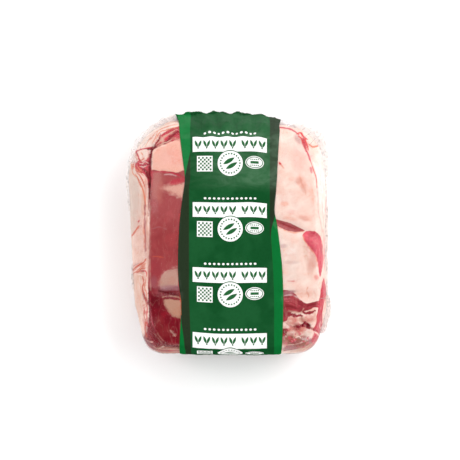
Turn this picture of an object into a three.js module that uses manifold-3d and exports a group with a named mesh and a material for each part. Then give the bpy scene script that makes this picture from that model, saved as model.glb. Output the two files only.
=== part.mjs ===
// A boneless raw ribeye roast, shrunk into a clear vacuum bag that has a printed band down its middle.
// It lies on its back with the shown face up. Millimetres, +Z up. +Y runs to the bag's sealed end and
// +X to the right of the shown face. The origin is the centre of the pack's box, on the surface it lies on.
import * as THREE from "three";
import { mergeVertices } from "three/addons/utils/BufferGeometryUtils.js";
import Module from "manifold-3d";

const wasm = await Module();
wasm.setup();

// Driving dimensions.
const PACK_WIDTH = 225;
const PACK_LENGTH = 270;
const PACK_HEIGHT = 80;
const FACE_HEIGHT = 77; // the flat of the upper face, before its swells and seams
const RIM_HEIGHT = 33; // the pack is widest at this height
const FILM_GAP = 0.3; // between the bag and the band laid on it
const BAND_THICKNESS = 0.9;
const FLAP_THICKNESS = 1.4; // two shrunken films, pressed together
const FINEST_EDGE = 0.04; // joins and cuts leave no edge shorter than this

// Steps of the mesh across, along and up the pack.
const STEPS = { across: 24, along: 27, up: 10 };

// The roast's reach from the origin to each side, without the film that stands out past the meat.
const REACH = {
  left: 0.472 * PACK_WIDTH,
  right: 0.484 * PACK_WIDTH,
  sealed: 0.468 * PACK_LENGTH,
  folded: 0.498 * PACK_LENGTH,
};
// Exponent of the superellipse at the two ends: a higher one makes squarer corners.
const CORNER = { sealed: 4.0, folded: 5.8 };
// How far each long side leans outwards towards the sealed end, in mm for each mm of length.
const LEAN = { left: 0.055, right: 0.02 };
// The flat of the upper face, as a share of the reach to each side. Beyond it the flank falls to the rim.
const FLAT = { left: 0.78, right: 0.88, sealed: 0.8, folded: 0.92 };
// The flat of the underside, which the pack rests on.
const SOLE = 0.78;

// Bulges and dents of the rim: where, as an angle from +X, how wide and how far out.
const RIM_BULGES = [
  { at: 148, spread: 7, rise: 2.4 }, // fat on the upper left shoulder
  { at: 128, spread: 7, rise: -2.4 }, // the meat falls short of the bag's corner
  { at: 63, spread: 8, rise: -3.0 },
  { at: 42, spread: 8, rise: 2.0 },
  { at: 226, spread: 7, rise: -4.0 },
  { at: 322, spread: 6, rise: 2.0 },
];

// Swells and seams of the upper face: centre, half sizes, turn in degrees, and rise.
const FACE_RELIEF = {
  fatCap: { at: [77, 56], size: [30, 50], turn: 0, rise: 3.0 },
  capSeam: { at: [70, 7], size: [24, 6], turn: -20, rise: -4.0 },
  lowerFat: { at: [70, -30], size: [19, 27], turn: 0, rise: 3.2 },
  sideMuscle: { at: [94, -18], size: [26, 8], turn: -68, rise: 1.5 },
  lowerSeam: { at: [79, -69], size: [26, 7], turn: -6, rise: -3.2 },
  cornerFat: { at: [78, -102], size: [18, 14], turn: 20, rise: 2.4 },
  eyeMuscle: { at: [-68, 8], size: [17, 56], turn: 0, rise: -2.0 },
  eyeFat: { at: [-66, 86], size: [20, 20], turn: 0, rise: 2.2 },
  eyeSeam: { at: [-66, -64], size: [18, 6], turn: -8, rise: -3.0 },
  tailMuscle: { at: [-70, -96], size: [18, 22], turn: 0, rise: 2.0 },
  bandCrest: { at: [4, 62], size: [52, 34], turn: 0, rise: 1.8 },
  bandDip: { at: [0, 28], size: [60, 10], turn: 6, rise: -1.6 },
  bandTail: { at: [4, -70], size: [50, 44], turn: 0, rise: 1.2 },
};
// The crevice between the upper face and the left flank, along the edge of the flat.
const CREVICE = { at: 153, spread: 22, depth: 4.2, width: 0.07 };
// Folds where the film is gathered at the sealed end.
const GATHER = { pitch: 21, depth: 1.9, halfAngle: 48 };
const UNEVENNESS = { size: 34, rise: 1.3 };

// Ears and flaps of spare film round the rim: from and to as angles from +X, reach past the meat, height
// of the root, lift of the edge, and ripples.
const FLAPS = {
  sealed_fin: { from: 61, to: 136, reach: 8.8, height: 37, lift: 3, ripple: 2.6, ripples: 8.5, steps: 46 },
  left_shoulder: { from: 139, to: 167, reach: 3.2, height: 40, lift: -2, ripple: 1.6, ripples: 2.5, steps: 16 },
  left_knot: { from: 198, to: 211, reach: 4.4, height: 36, lift: 2, ripple: 1.5, ripples: 2.5, steps: 12 },
  left_foot: { from: 229, to: 247, reach: 6.5, height: 28, lift: 2, ripple: 1.0, ripples: 1.5, steps: 14 },
  right_foot: { from: -64, to: -47, reach: 3.0, height: 28, lift: 2, ripple: 1.0, ripples: 1.5, steps: 12 },
  right_ear: { from: -47, to: -31, reach: 7.5, height: 34, lift: 7, ripple: 1.2, ripples: 1.5, steps: 14 },
  right_edge: { from: -33, to: 30, reach: 3.4, height: 34, lift: 3, ripple: 1.4, ripples: 5.5, steps: 26 },
  right_shoulder: { from: 29, to: 60, reach: 10.5, height: 38, lift: 3, ripple: 1.8, ripples: 2.5, steps: 16 },
};

// Pleats of film that stand up from the surface, each from start to end, with its width and height.
const EDGE_PLEAT = { start: [-84.5, 88], end: [-86, -66], width: 4.4, height: 2.2, steps: 16 };
// Fans of pleats that run down the flank: first and last angle, shares of the rim distance at which they
// start and end, and how far they slant, in degrees.
const PLEAT_FANS = [
  { from: 124, to: 153, shares: [0.78, 0.97], slant: 4, count: 5, width: 4.2, height: 2.0 },
  { from: 30, to: 55, shares: [0.82, 0.98], slant: -5, count: 5, width: 4.2, height: 1.8 },
  { from: 190, to: 203, shares: [0.82, 0.97], slant: 3, count: 3, width: 3.4, height: 1.8 },
];

// The band's two edges, each as (distance along Y, distance along X), joined by a smooth curve.
const BAND_LEFT = [[150, -55.5], [125, -54.5], [64, -47.8], [-28, -55.8], [-80, -52.2], [-118, -53.8], [-150, -54]];
const BAND_RIGHT = [[150, 56.5], [125, 56.2], [60, 53], [34, 51], [-20, 56.6], [-73, 60.6], [-118, 59.2], [-150, 58]];
const BAND_LOWEST = 12; // the band ends this high above the surface, where the bag's folded end tucks under

const radians = THREE.MathUtils.degToRad;

// Smooth noise between -1 and 1, with the same value at the same place on every run.
function latticeValue(i, j, k) {
  const s = Math.sin(i * 127.1 + j * 311.7 + k * 74.7) * 43758.5453;
  return 2 * (s - Math.floor(s)) - 1;
}

function smoothNoise(x, y, z) {
  const cell = [x, y, z].map(Math.floor);
  const part = [x, y, z].map((v, n) => THREE.MathUtils.smootherstep(v - cell[n], 0, 1));
  let sum = 0;
  for (let corner = 0; corner < 8; corner++) {
    const step = [corner & 1, (corner >> 1) & 1, (corner >> 2) & 1];
    const weight = step.reduce((w, s, n) => w * (s ? part[n] : 1 - part[n]), 1);
    sum += weight * latticeValue(cell[0] + step[0], cell[1] + step[1], cell[2] + step[2]);
  }
  return sum;
}

// How far apart two angles in degrees are, from 0 to 180.
function angleBetween(a, b) {
  return Math.abs(((((a - b) % 360) + 540) % 360) - 180);
}

function bell(t) {
  return Math.exp(-t * t);
}

// The value for a direction, blended from those for the four sides.
function bySide(sides, turn) {
  const c = Math.cos(turn);
  const s = Math.sin(turn);
  return c * c * (c < 0 ? sides.left : sides.right) + s * s * (s > 0 ? sides.sealed : sides.folded);
}

// The distance from the middle to the meat's rim in a direction, in radians.
function rimDistance(turn) {
  const c = Math.cos(turn);
  const s = Math.sin(turn);
  const power = s > 0 ? CORNER.sealed : CORNER.folded;
  const across = Math.abs(c) / (c < 0 ? REACH.left : REACH.right);
  const along = Math.abs(s) / (s > 0 ? REACH.sealed : REACH.folded);
  let r = (across ** power + along ** power) ** (-1 / power);
  const lean = c < 0 ? LEAN.left : LEAN.right;
  r *= 1 + (lean * c * c * s * r) / (c < 0 ? REACH.left : REACH.right);
  for (const b of RIM_BULGES) r += b.rise * bell(angleBetween(THREE.MathUtils.radToDeg(turn), b.at) / b.spread);
  return r;
}

// The rise of the upper face over its plain form.
function faceRelief(x, y) {
  let rise = 0;
  for (const { at, size, turn, rise: most } of Object.values(FACE_RELIEF)) {
    const c = Math.cos(radians(turn));
    const s = Math.sin(radians(turn));
    const dx = x - at[0];
    const dy = y - at[1];
    rise += most * bell(Math.hypot((dx * c + dy * s) / size[0], (dy * c - dx * s) / size[1]));
  }
  return rise + UNEVENNESS.rise * smoothNoise(x / UNEVENNESS.size, y / UNEVENNESS.size, 0.5);
}

// A point of the pack's skin. ring goes from 0 in the middle of a face to 1 at the edge of its flat, and tilt
// from 0 there to 90 degrees at the rim.
function skinPoint(turn, ring, tilt, isUpper) {
  const rim = rimDistance(turn);
  const flat = isUpper ? bySide(FLAT, turn) : SOLE;
  const share = ring * flat + (1 - flat) * Math.sin(tilt);
  const degrees = THREE.MathUtils.radToDeg(turn);
  const onFlank = Math.sin(2 * tilt);
  const folds = onFlank * bell(angleBetween(degrees, 90) / GATHER.halfAngle) ** 2;
  const gather = isUpper ? GATHER.depth * folds * Math.cos((2 * Math.PI * rim * Math.cos(turn)) / GATHER.pitch) : 0;
  const lump = onFlank * smoothNoise(turn * 3.1, isUpper ? tilt : -tilt, 7.5);
  const reach = share * rim + gather + UNEVENNESS.rise * lump;
  const x = reach * Math.cos(turn);
  const y = reach * Math.sin(turn);
  if (!isUpper) return [x, y, RIM_HEIGHT * (1 - Math.cos(tilt))];
  const crevice =
    CREVICE.depth *
    bell(angleBetween(degrees, CREVICE.at) / CREVICE.spread) *
    bell((share - flat) / CREVICE.width);
  const face = FACE_HEIGHT - RIM_HEIGHT + faceRelief(x, y);
  return [x, y, RIM_HEIGHT + face * Math.cos(tilt) - crevice + 0.5 * gather];
}

// The roast in its bag: a box of small faces, pulled into shape. outset moves every point out along its normal.
function skinGeometry(outset) {
  const box = new THREE.BoxGeometry(2, 2, 2, STEPS.across, STEPS.along, STEPS.up);
  box.deleteAttribute("normal");
  box.deleteAttribute("uv");
  const skin = mergeVertices(box, 1e-5);
  const points = skin.getAttribute("position");
  for (let i = 0; i < points.count; i++) {
    const [x, y, z] = [points.getX(i), points.getY(i), points.getZ(i)];
    const turn = Math.atan2(y * REACH.folded, x * REACH.right);
    const ring = Math.max(Math.abs(x), Math.abs(y));
    const tilt = ((1 - Math.abs(z)) * Math.PI) / 2;
    points.setXYZ(i, ...skinPoint(turn, ring, tilt, z >= 0));
  }
  if (!outset) return skin;
  skin.computeVertexNormals();
  const normals = skin.getAttribute("normal");
  for (let i = 0; i < points.count; i++) {
    const at = new THREE.Vector3().fromBufferAttribute(points, i);
    at.addScaledVector(new THREE.Vector3().fromBufferAttribute(normals, i), outset);
    points.setXYZ(i, at.x, at.y, at.z);
  }
  skin.deleteAttribute("normal");
  return skin;
}

// The height of the upper face over a place inside its flat.
function faceHeight(x, y) {
  return FACE_HEIGHT + faceRelief(x, y);
}

// The height of the upper skin over any place within the rim.
function skinHeight(x, y) {
  const turn = Math.atan2(y, x);
  const flat = bySide(FLAT, turn);
  const share = Math.hypot(x, y) / rimDistance(turn);
  const along = THREE.MathUtils.clamp((share - flat) / (1 - flat), 0, 1);
  return RIM_HEIGHT + (faceHeight(x, y) - RIM_HEIGHT) * Math.sqrt(1 - along * along);
}

// A closed solid from rows of points, each row a closed loop. The first and last rows are capped.
function loftGeometry(rows) {
  const size = rows[0].length;
  const positions = rows.flat(2);
  const faces = [];
  for (let i = 0; i + 1 < rows.length; i++) {
    for (let j = 0; j < size; j++) {
      const a = i * size + j;
      const b = i * size + ((j + 1) % size);
      faces.push(a, b, a + size, b, b + size, a + size);
    }
  }
  const last = (rows.length - 1) * size;
  for (let j = 1; j + 1 < size; j++) {
    faces.push(0, j + 1, j, last, last + j, last + j + 1);
  }
  const geometry = new THREE.BufferGeometry();
  geometry.setAttribute("position", new THREE.Float32BufferAttribute(positions, 3));
  geometry.setIndex(faces);
  return geometry;
}

// A flap of spare film along the rim. It starts inside the meat, thins to its edge and ripples.
function flapGeometry({ from, to, reach, height, lift, ripple, ripples, steps }) {
  const root = 9; // how deep it starts inside the meat
  const rows = [];
  for (let i = 0; i <= steps; i++) {
    const u = i / steps;
    const turn = radians(from + (to - from) * u);
    const rim = rimDistance(turn);
    const swell = Math.sin(Math.PI * u) ** 0.6;
    const ragged = 1 + 0.16 * Math.sin(u * ripples * 5.1 + 1) + 0.1 * Math.sin(u * ripples * 9.7);
    const wave = ripple * Math.sin(2 * Math.PI * ripples * u);
    const out = 1.2 + (reach - 1.2) * swell * ragged;
    const rise = lift * swell + ripple * swell * Math.sin(2 * Math.PI * ripples * u);
    const section = [
      [rim - root, height, FLAP_THICKNESS],
      [rim + 0.4 * out, height + 0.45 * rise, FLAP_THICKNESS],
      [rim + out, height + rise, 0.7 * FLAP_THICKNESS],
    ];
    const place = (distance, z) => [distance * Math.cos(turn), distance * Math.sin(turn), z];
    rows.push([
      ...section.map(([d, z, t]) => place(d, z - t / 2)),
      ...section.reverse().map(([d, z, t]) => place(d, z + t / 2)),
    ]);
  }
  return loftGeometry(rows.reverse());
}

// A pleat of film that stands on the upper skin, from start to end, and runs out at both ends.
function pleatGeometry({ start, end, width, height, steps }) {
  const depth = 3; // how deep its foot lies under the skin
  const run = new THREE.Vector2(end[0] - start[0], end[1] - start[1]);
  const side = new THREE.Vector2(-run.y, run.x).setLength(width / 2);
  const rows = [];
  for (let i = 0; i <= steps; i++) {
    const u = i / steps;
    const x = start[0] + run.x * u;
    const y = start[1] + run.y * u;
    const crest = skinHeight(x, y) + height * Math.sin(Math.PI * u) ** 0.5;
    const left = [x + side.x, y + side.y];
    const right = [x - side.x, y - side.y];
    rows.push([
      [...left, skinHeight(...left) - 0.4],
      [...left, skinHeight(...left) - depth],
      [...right, skinHeight(...right) - depth],
      [...right, skinHeight(...right) - 0.4],
      [x, y, crest],
    ]);
  }
  return loftGeometry(rows.reverse());
}

// The pleats of one fan.
function fanPleats({ from, to, shares, slant, count, width, height }) {
  return Array.from({ length: count }, (_, i) => {
    const at = THREE.MathUtils.lerp(from, to, i / (count - 1));
    const place = (degrees, share) => {
      const turn = radians(degrees);
      const r = share * rimDistance(turn);
      return [r * Math.cos(turn), r * Math.sin(turn)];
    };
    const start = place(at, shares[0] + 0.03 * Math.sin(2.4 * i));
    const end = place(at + slant, shares[1] - 0.03 * Math.sin(3.1 * i));
    return pleatGeometry({ start, end, width, height, steps: 5 });
  });
}

// The upright prism that cuts the band out of a skin. margin widens it on both sides.
function bandPrism(margin) {
  const edge = (stations, shift) => {
    const curve = new THREE.SplineCurve(stations.map(([y, x]) => new THREE.Vector2(x + shift, y)));
    return curve.getPoints(26);
  };
  const outline = new THREE.Shape([...edge(BAND_LEFT, -margin), ...edge(BAND_RIGHT, margin).reverse()]);
  const tall = new THREE.ExtrudeGeometry(outline, { depth: 2 * PACK_HEIGHT, bevelEnabled: false });
  return tall.translate(0, 0, BAND_LOWEST - margin);
}

// A geometry as a solid for joining and cutting.
function solidOf(geometry) {
  const bare = geometry.clone();
  for (const name of Object.keys(bare.attributes)) if (name !== "position") bare.deleteAttribute(name);
  const merged = mergeVertices(bare, 1e-5);
  return new wasm.Manifold(
    new wasm.Mesh({
      numProp: 3,
      vertProperties: merged.getAttribute("position").array,
      triVerts: new Uint32Array(merged.index.array),
      tolerance: FINEST_EDGE,
    }),
  );
}

// A solid as a mesh with its name, colour and finish.
function meshOf(solid, name, color, roughness) {
  const { vertProperties, triVerts } = solid.getMesh();
  const geometry = new THREE.BufferGeometry();
  geometry.setAttribute("position", new THREE.BufferAttribute(vertProperties, 3));
  geometry.setIndex(new THREE.BufferAttribute(triVerts, 1));
  geometry.computeVertexNormals();
  const mesh = new THREE.Mesh(geometry, new THREE.MeshStandardMaterial({ color, roughness, metalness: 0 }));
  mesh.name = name;
  return mesh;
}

const skin = solidOf(skinGeometry(0));
const nearSkin = solidOf(skinGeometry(FILM_GAP));
const outerSkin = solidOf(skinGeometry(FILM_GAP + BAND_THICKNESS));
const sealedFin = solidOf(flapGeometry(FLAPS.sealed_fin));
const otherFlaps = Object.entries(FLAPS)
  .filter(([name]) => name !== "sealed_fin")
  .map(([, flap]) => solidOf(flapGeometry(flap)));
const pleats = [pleatGeometry(EDGE_PLEAT), ...PLEAT_FANS.flatMap(fanPleats)].map(solidOf);

// The fin is printed where the band crosses it, so the band takes that stretch and the bag the rest.
const finBesideBand = sealedFin.subtract(solidOf(bandPrism(FILM_GAP)));
const joined = [finBesideBand, ...otherFlaps, ...pleats].reduce((all, piece) => all.add(piece), skin);
// Pockets between film and meat come out as bodies of their own, inside out: the largest body has them filled.
const bag = joined.decompose().reduce((most, body) => (body.volume() > most.volume() ? body : most));

const band = outerSkin
  .subtract(nearSkin)
  .add(sealedFin.subtract(nearSkin))
  .intersect(solidOf(bandPrism(0)));

const pack = new THREE.Group();
pack.add(meshOf(bag, "sealed_bag", 0xc9747a, 0.3));
pack.add(meshOf(band, "printed_band", 0x2b6a3c, 0.4));

// The ragged film decides the last millimetres, so the whole is fitted to its driving size at the end.
const box = new THREE.Box3().setFromObject(pack);
const fit = new THREE.Vector3(PACK_WIDTH, PACK_LENGTH, PACK_HEIGHT).divide(box.getSize(new THREE.Vector3()));
const middle = box.getCenter(new THREE.Vector3()).multiply(fit);
pack.scale.copy(fit);
pack.position.set(-middle.x, -middle.y, 0);

export default pack;
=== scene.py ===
"""A raw ribeye roast in a clear vacuum bag with a printed band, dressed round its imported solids.

The pack lies flat with its shown face up. +Y runs to the bag's sealed end and +X to the right of the shown
face. Lengths are in millimetres until a mesh is made. Meshes are in metres, with their objects at the origin.
"""

from __future__ import annotations

import logging
import math
from collections.abc import Sequence
from dataclasses import dataclass, field, fields
from enum import Enum

import bmesh
import bpy
import numpy as np
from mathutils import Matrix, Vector
from mathutils.bvhtree import BVHTree


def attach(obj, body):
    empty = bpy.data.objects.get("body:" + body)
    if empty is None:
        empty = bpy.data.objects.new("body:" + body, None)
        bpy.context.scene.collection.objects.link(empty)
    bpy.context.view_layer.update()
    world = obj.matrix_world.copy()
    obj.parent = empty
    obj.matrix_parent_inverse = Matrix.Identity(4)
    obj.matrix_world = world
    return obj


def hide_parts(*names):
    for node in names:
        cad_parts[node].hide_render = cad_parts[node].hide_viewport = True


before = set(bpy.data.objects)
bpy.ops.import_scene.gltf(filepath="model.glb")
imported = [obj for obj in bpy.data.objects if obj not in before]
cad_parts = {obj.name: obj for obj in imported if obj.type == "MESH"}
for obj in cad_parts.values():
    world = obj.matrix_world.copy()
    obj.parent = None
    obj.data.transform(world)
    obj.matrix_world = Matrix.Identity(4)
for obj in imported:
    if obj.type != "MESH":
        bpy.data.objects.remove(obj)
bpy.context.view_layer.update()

log = logging.getLogger("ribeye")

MILLIMETRE = 0.001
BODY = "root"
PRINT_CHART = "print_uv"  # the chart of the flat print, in metres
WALL = "thickness"  # the modifier that gives the band its thickness
SMOOTH = "SMOOTHSTEP"
STRAIGHT = "LINEAR"
WHITE = (1.0, 1.0, 1.0, 1.0)
STUDIO_LIGHT = 1.4  # how much brighter the studio shows a surface than its share of light


class Slot(Enum):
    """The record's material slots."""

    MEAT = "meat_in_film"
    PRINT = "printed_film"


class Tissue(Enum):
    """What a patch of the meat is made of."""

    LEAN = "lean"
    FAT = "fat"


class Tone(Enum):
    """Colours of the meat, the film and the print as they look in the studio's light, as sRGB bytes."""

    IVORY = (254, 243, 236)
    CREAM = (253, 220, 207)
    PEACH = (250, 190, 172)
    BLUSH = (248, 186, 177)
    SHELL = (242, 216, 205)
    ROSE = (228, 172, 156)
    GREY_FAT = (198, 152, 138)
    MAUVE = (172, 114, 120)
    LILAC = (229, 200, 200)
    TAN = (226, 180, 160)
    SAND = (192, 142, 120)
    RUST = (164, 98, 84)
    SALMON = (212, 134, 120)
    PARCHMENT = (224, 198, 186)
    CORAL = (222, 88, 104)
    MUSCLE = (174, 80, 82)
    RED = (158, 54, 62)
    BRICK = (152, 46, 50)
    DEEP = (126, 12, 30)
    CLOT = (104, 4, 22)
    CRIMSON = (202, 60, 76)
    VESSEL = (228, 74, 76)
    SINEW = (232, 140, 112)
    ORANGE = (214, 92, 66)
    UMBER = (150, 102, 108)
    VIOLET = (160, 88, 96)
    PINK = (241, 142, 142)
    BAND_DARK = (21, 82, 41)
    BAND_PALE = (35, 98, 55)
    # painted sheen: the pale veil of reflected light on the band towards the sealed end
    BAND_HAZE = (150, 188, 156)
    RIBBON_DARK = (43, 57, 39)
    RIBBON_BRIGHT = (16, 116, 53)
    WEDGE_BRIGHT = (26, 124, 62)
    EDGE_ORANGE = (244, 128, 56)
    INK_WHITE = (252, 252, 250)
    INK_GREEN = (24, 100, 48)
    FILM_HAZE = (255, 250, 250)

    def linear(self) -> np.ndarray:
        """The share of the light that a surface of this tone gives back, as linear RGB."""
        share = np.array(self.value) / 255.0
        return np.where(share <= 0.04045, share / 12.92, ((share + 0.055) / 1.055) ** 2.4) / STUDIO_LIGHT

    def rgba(self) -> tuple[float, float, float, float]:
        """The colour as scene-linear RGBA."""
        return (*(float(v) for v in self.linear()), 1.0)


# ---------------------------------------------------------------------------------------------------------
# Small mathematics on arrays
# ---------------------------------------------------------------------------------------------------------


def smooth_step(low: float, high: float, value: np.ndarray) -> np.ndarray:
    """A soft step from 0 at low to 1 at high.

    Args:
        low: Where the step starts.
        high: Where it ends.
        value: The values to step.

    Returns:
        Values from 0 to 1.
    """
    t = np.clip((value - low) / (high - low), 0.0, 1.0)
    return t * t * (3.0 - 2.0 * t)


def bell(t: np.ndarray) -> np.ndarray:
    """The bell curve exp(-t squared)."""
    return np.exp(-t * t)


def lattice_value(i: np.ndarray, j: np.ndarray, k: np.ndarray) -> np.ndarray:
    """A fixed random value from -1 to 1 for each lattice point."""
    s = np.sin(i * 127.1 + j * 311.7 + k * 74.7) * 43758.5453
    return 2.0 * (s - np.floor(s)) - 1.0


def smooth_noise(x: np.ndarray, y: np.ndarray, z: np.ndarray | float) -> np.ndarray:
    """Smooth noise from -1 to 1, with one feature for each unit of length.

    Args:
        x: First coordinate.
        y: Second coordinate.
        z: Third coordinate.

    Returns:
        The noise at each place.
    """
    places = np.broadcast_arrays(x, y, z)
    cells = [np.floor(p) for p in places]
    parts = [p - c for p, c in zip(places, cells)]
    eased = [t * t * t * (t * (t * 6.0 - 15.0) + 10.0) for t in parts]
    total = np.zeros(places[0].shape)
    for corner in range(8):
        step = [corner >> n & 1 for n in range(3)]
        weight = np.ones(places[0].shape)
        for near, share in zip(step, eased):
            weight = weight * (share if near else 1.0 - share)
        total += weight * lattice_value(*(c + n for c, n in zip(cells, step)))
    return total


def ridge_noise(x: np.ndarray, y: np.ndarray, z: np.ndarray | float, sharpness: float = 3.0) -> np.ndarray:
    """Noise that is 1 along thin winding ridges and falls off beside them.

    Args:
        x: First coordinate.
        y: Second coordinate.
        z: Third coordinate.
        sharpness: How thin the ridges are.

    Returns:
        Values from 0 to 1.
    """
    return np.clip(1.0 - sharpness * np.abs(smooth_noise(x, y, z)), 0.0, 1.0) ** 2


def angle_between(a: np.ndarray, b: float) -> np.ndarray:
    """How far apart angles in degrees are, from 0 to 180."""
    return np.abs((a - b + 180.0) % 360.0 - 180.0)


def through(points: np.ndarray, per_span: int, closed: bool = False) -> np.ndarray:
    """A smooth curve through points.

    Args:
        points: The points, one a row.
        per_span: How many points the curve has for each span.
        closed: Whether it runs back to its start.

    Returns:
        The curve's points.
    """
    points = np.asarray(points, dtype=float)
    if closed:
        ring = np.vstack([points[-1], points, points[0], points[1]])
    else:
        ring = np.vstack([2 * points[0] - points[1], points, 2 * points[-1] - points[-2]])
    t = np.linspace(0.0, 1.0, per_span, endpoint=False)[:, None]
    spans = []
    for a, b, c, d in zip(ring, ring[1:], ring[2:], ring[3:]):
        spans.append(
            0.5 * (2 * b + (c - a) * t + (2 * a - 5 * b + 4 * c - d) * t**2 + (3 * b - a - 3 * c + d) * t**3)
        )
    if not closed:
        spans.append(points[-1][None])
    return np.vstack(spans)


def distance_to_path(places: np.ndarray, path: np.ndarray) -> tuple[np.ndarray, np.ndarray]:
    """How far places are from a path, and where along it they are nearest.

    Args:
        places: Places in the plane, one a row.
        path: The path's points, one a row.

    Returns:
        The distances, and the nearest place along the path from 0 to 1.
    """
    nearest = np.full(len(places), np.inf)
    along = np.zeros(len(places))
    spans = len(path) - 1
    for n in range(spans):
        run = path[n + 1] - path[n]
        offset = places - path[n]
        t = np.clip(offset @ run / max(run @ run, 1e-9), 0.0, 1.0)
        gap = np.linalg.norm(offset - t[:, None] * run, axis=1)
        closer = gap < nearest
        nearest[closer] = gap[closer]
        along[closer] = (n + t[closer]) / spans
    return nearest, along


def inside_outline(places: np.ndarray, outline: np.ndarray) -> np.ndarray:
    """Whether each place lies inside a closed outline.

    Args:
        places: The places, one a row.
        outline: The outline's points, one a row.

    Returns:
        True for each place inside it.
    """
    x, y = places.T
    inside = np.zeros(len(places), dtype=bool)
    for (ax, ay), (bx, by) in zip(outline, np.roll(outline, -1, axis=0)):
        if ay != by:
            crosses = (ay > y) != (by > y)
            inside ^= crosses & (x < ax + (y - ay) * (bx - ax) / (by - ay))
    return inside


@dataclass(frozen=True)
class PhotoFrame:
    """Places on the pack as pixels of the photograph, which looks straight down on it."""

    middle: tuple[float, float] = (227.75, 233.2)  # the pixel that shows the middle of the pack
    width: int = 460
    pitch: float = 1.1  # millimetres for each pixel at the sharp height
    sharp_height: float = 50.0
    eye_height: float = 3000.0

    def place(self, pixels: tuple) -> np.ndarray:
        """Pixels as millimetres across and along the pack, at the sharp height."""
        return (np.asarray(pixels, dtype=float) - self.middle) * (self.pitch, -self.pitch)

    @property
    def eye(self) -> np.ndarray:
        """The place in the plane that the camera hangs over."""
        return self.place((0.5 * self.width, 0.5 * self.width))

    def under(self, pixels: tuple, height: float) -> np.ndarray:
        """The places at a height that pixels show."""
        closer = (self.eye_height - height) / (self.eye_height - self.sharp_height)
        return self.eye + (self.place(pixels) - self.eye) * closer

    def seen(self, places: np.ndarray) -> np.ndarray:
        """Where places at any height are seen, as millimetres at the sharp height."""
        closer = (self.eye_height - self.sharp_height) / (self.eye_height - places[:, 2:])
        return self.eye + (places[:, :2] - self.eye) * closer


PHOTO = PhotoFrame()


# ---------------------------------------------------------------------------------------------------------
# The pack's form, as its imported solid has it
# ---------------------------------------------------------------------------------------------------------


@dataclass(frozen=True)
class Sides:
    """One value for each side of the pack."""

    left: float
    right: float
    sealed: float
    folded: float

    def blend(self, turn: np.ndarray) -> np.ndarray:
        """The value for a direction, blended from the four sides.

        Args:
            turn: The directions in radians.

        Returns:
            The value for each direction.
        """
        c = np.cos(turn)
        s = np.sin(turn)
        across = np.where(c < 0, self.left, self.right)
        along = np.where(s > 0, self.sealed, self.folded)
        return c * c * across + s * s * along


@dataclass(frozen=True)
class Swell:
    """A swell or a hollow of the upper face: centre, half sizes, turn in degrees and rise."""

    at: tuple[float, float]
    size: tuple[float, float]
    turn: float
    rise: float


@dataclass
class Stations:
    """Places on the skin: direction, share of the flat, fall of the flank from 0 to 90 degrees, and side."""

    turn: np.ndarray
    ring: np.ndarray
    tilt: np.ndarray
    upper: np.ndarray


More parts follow.
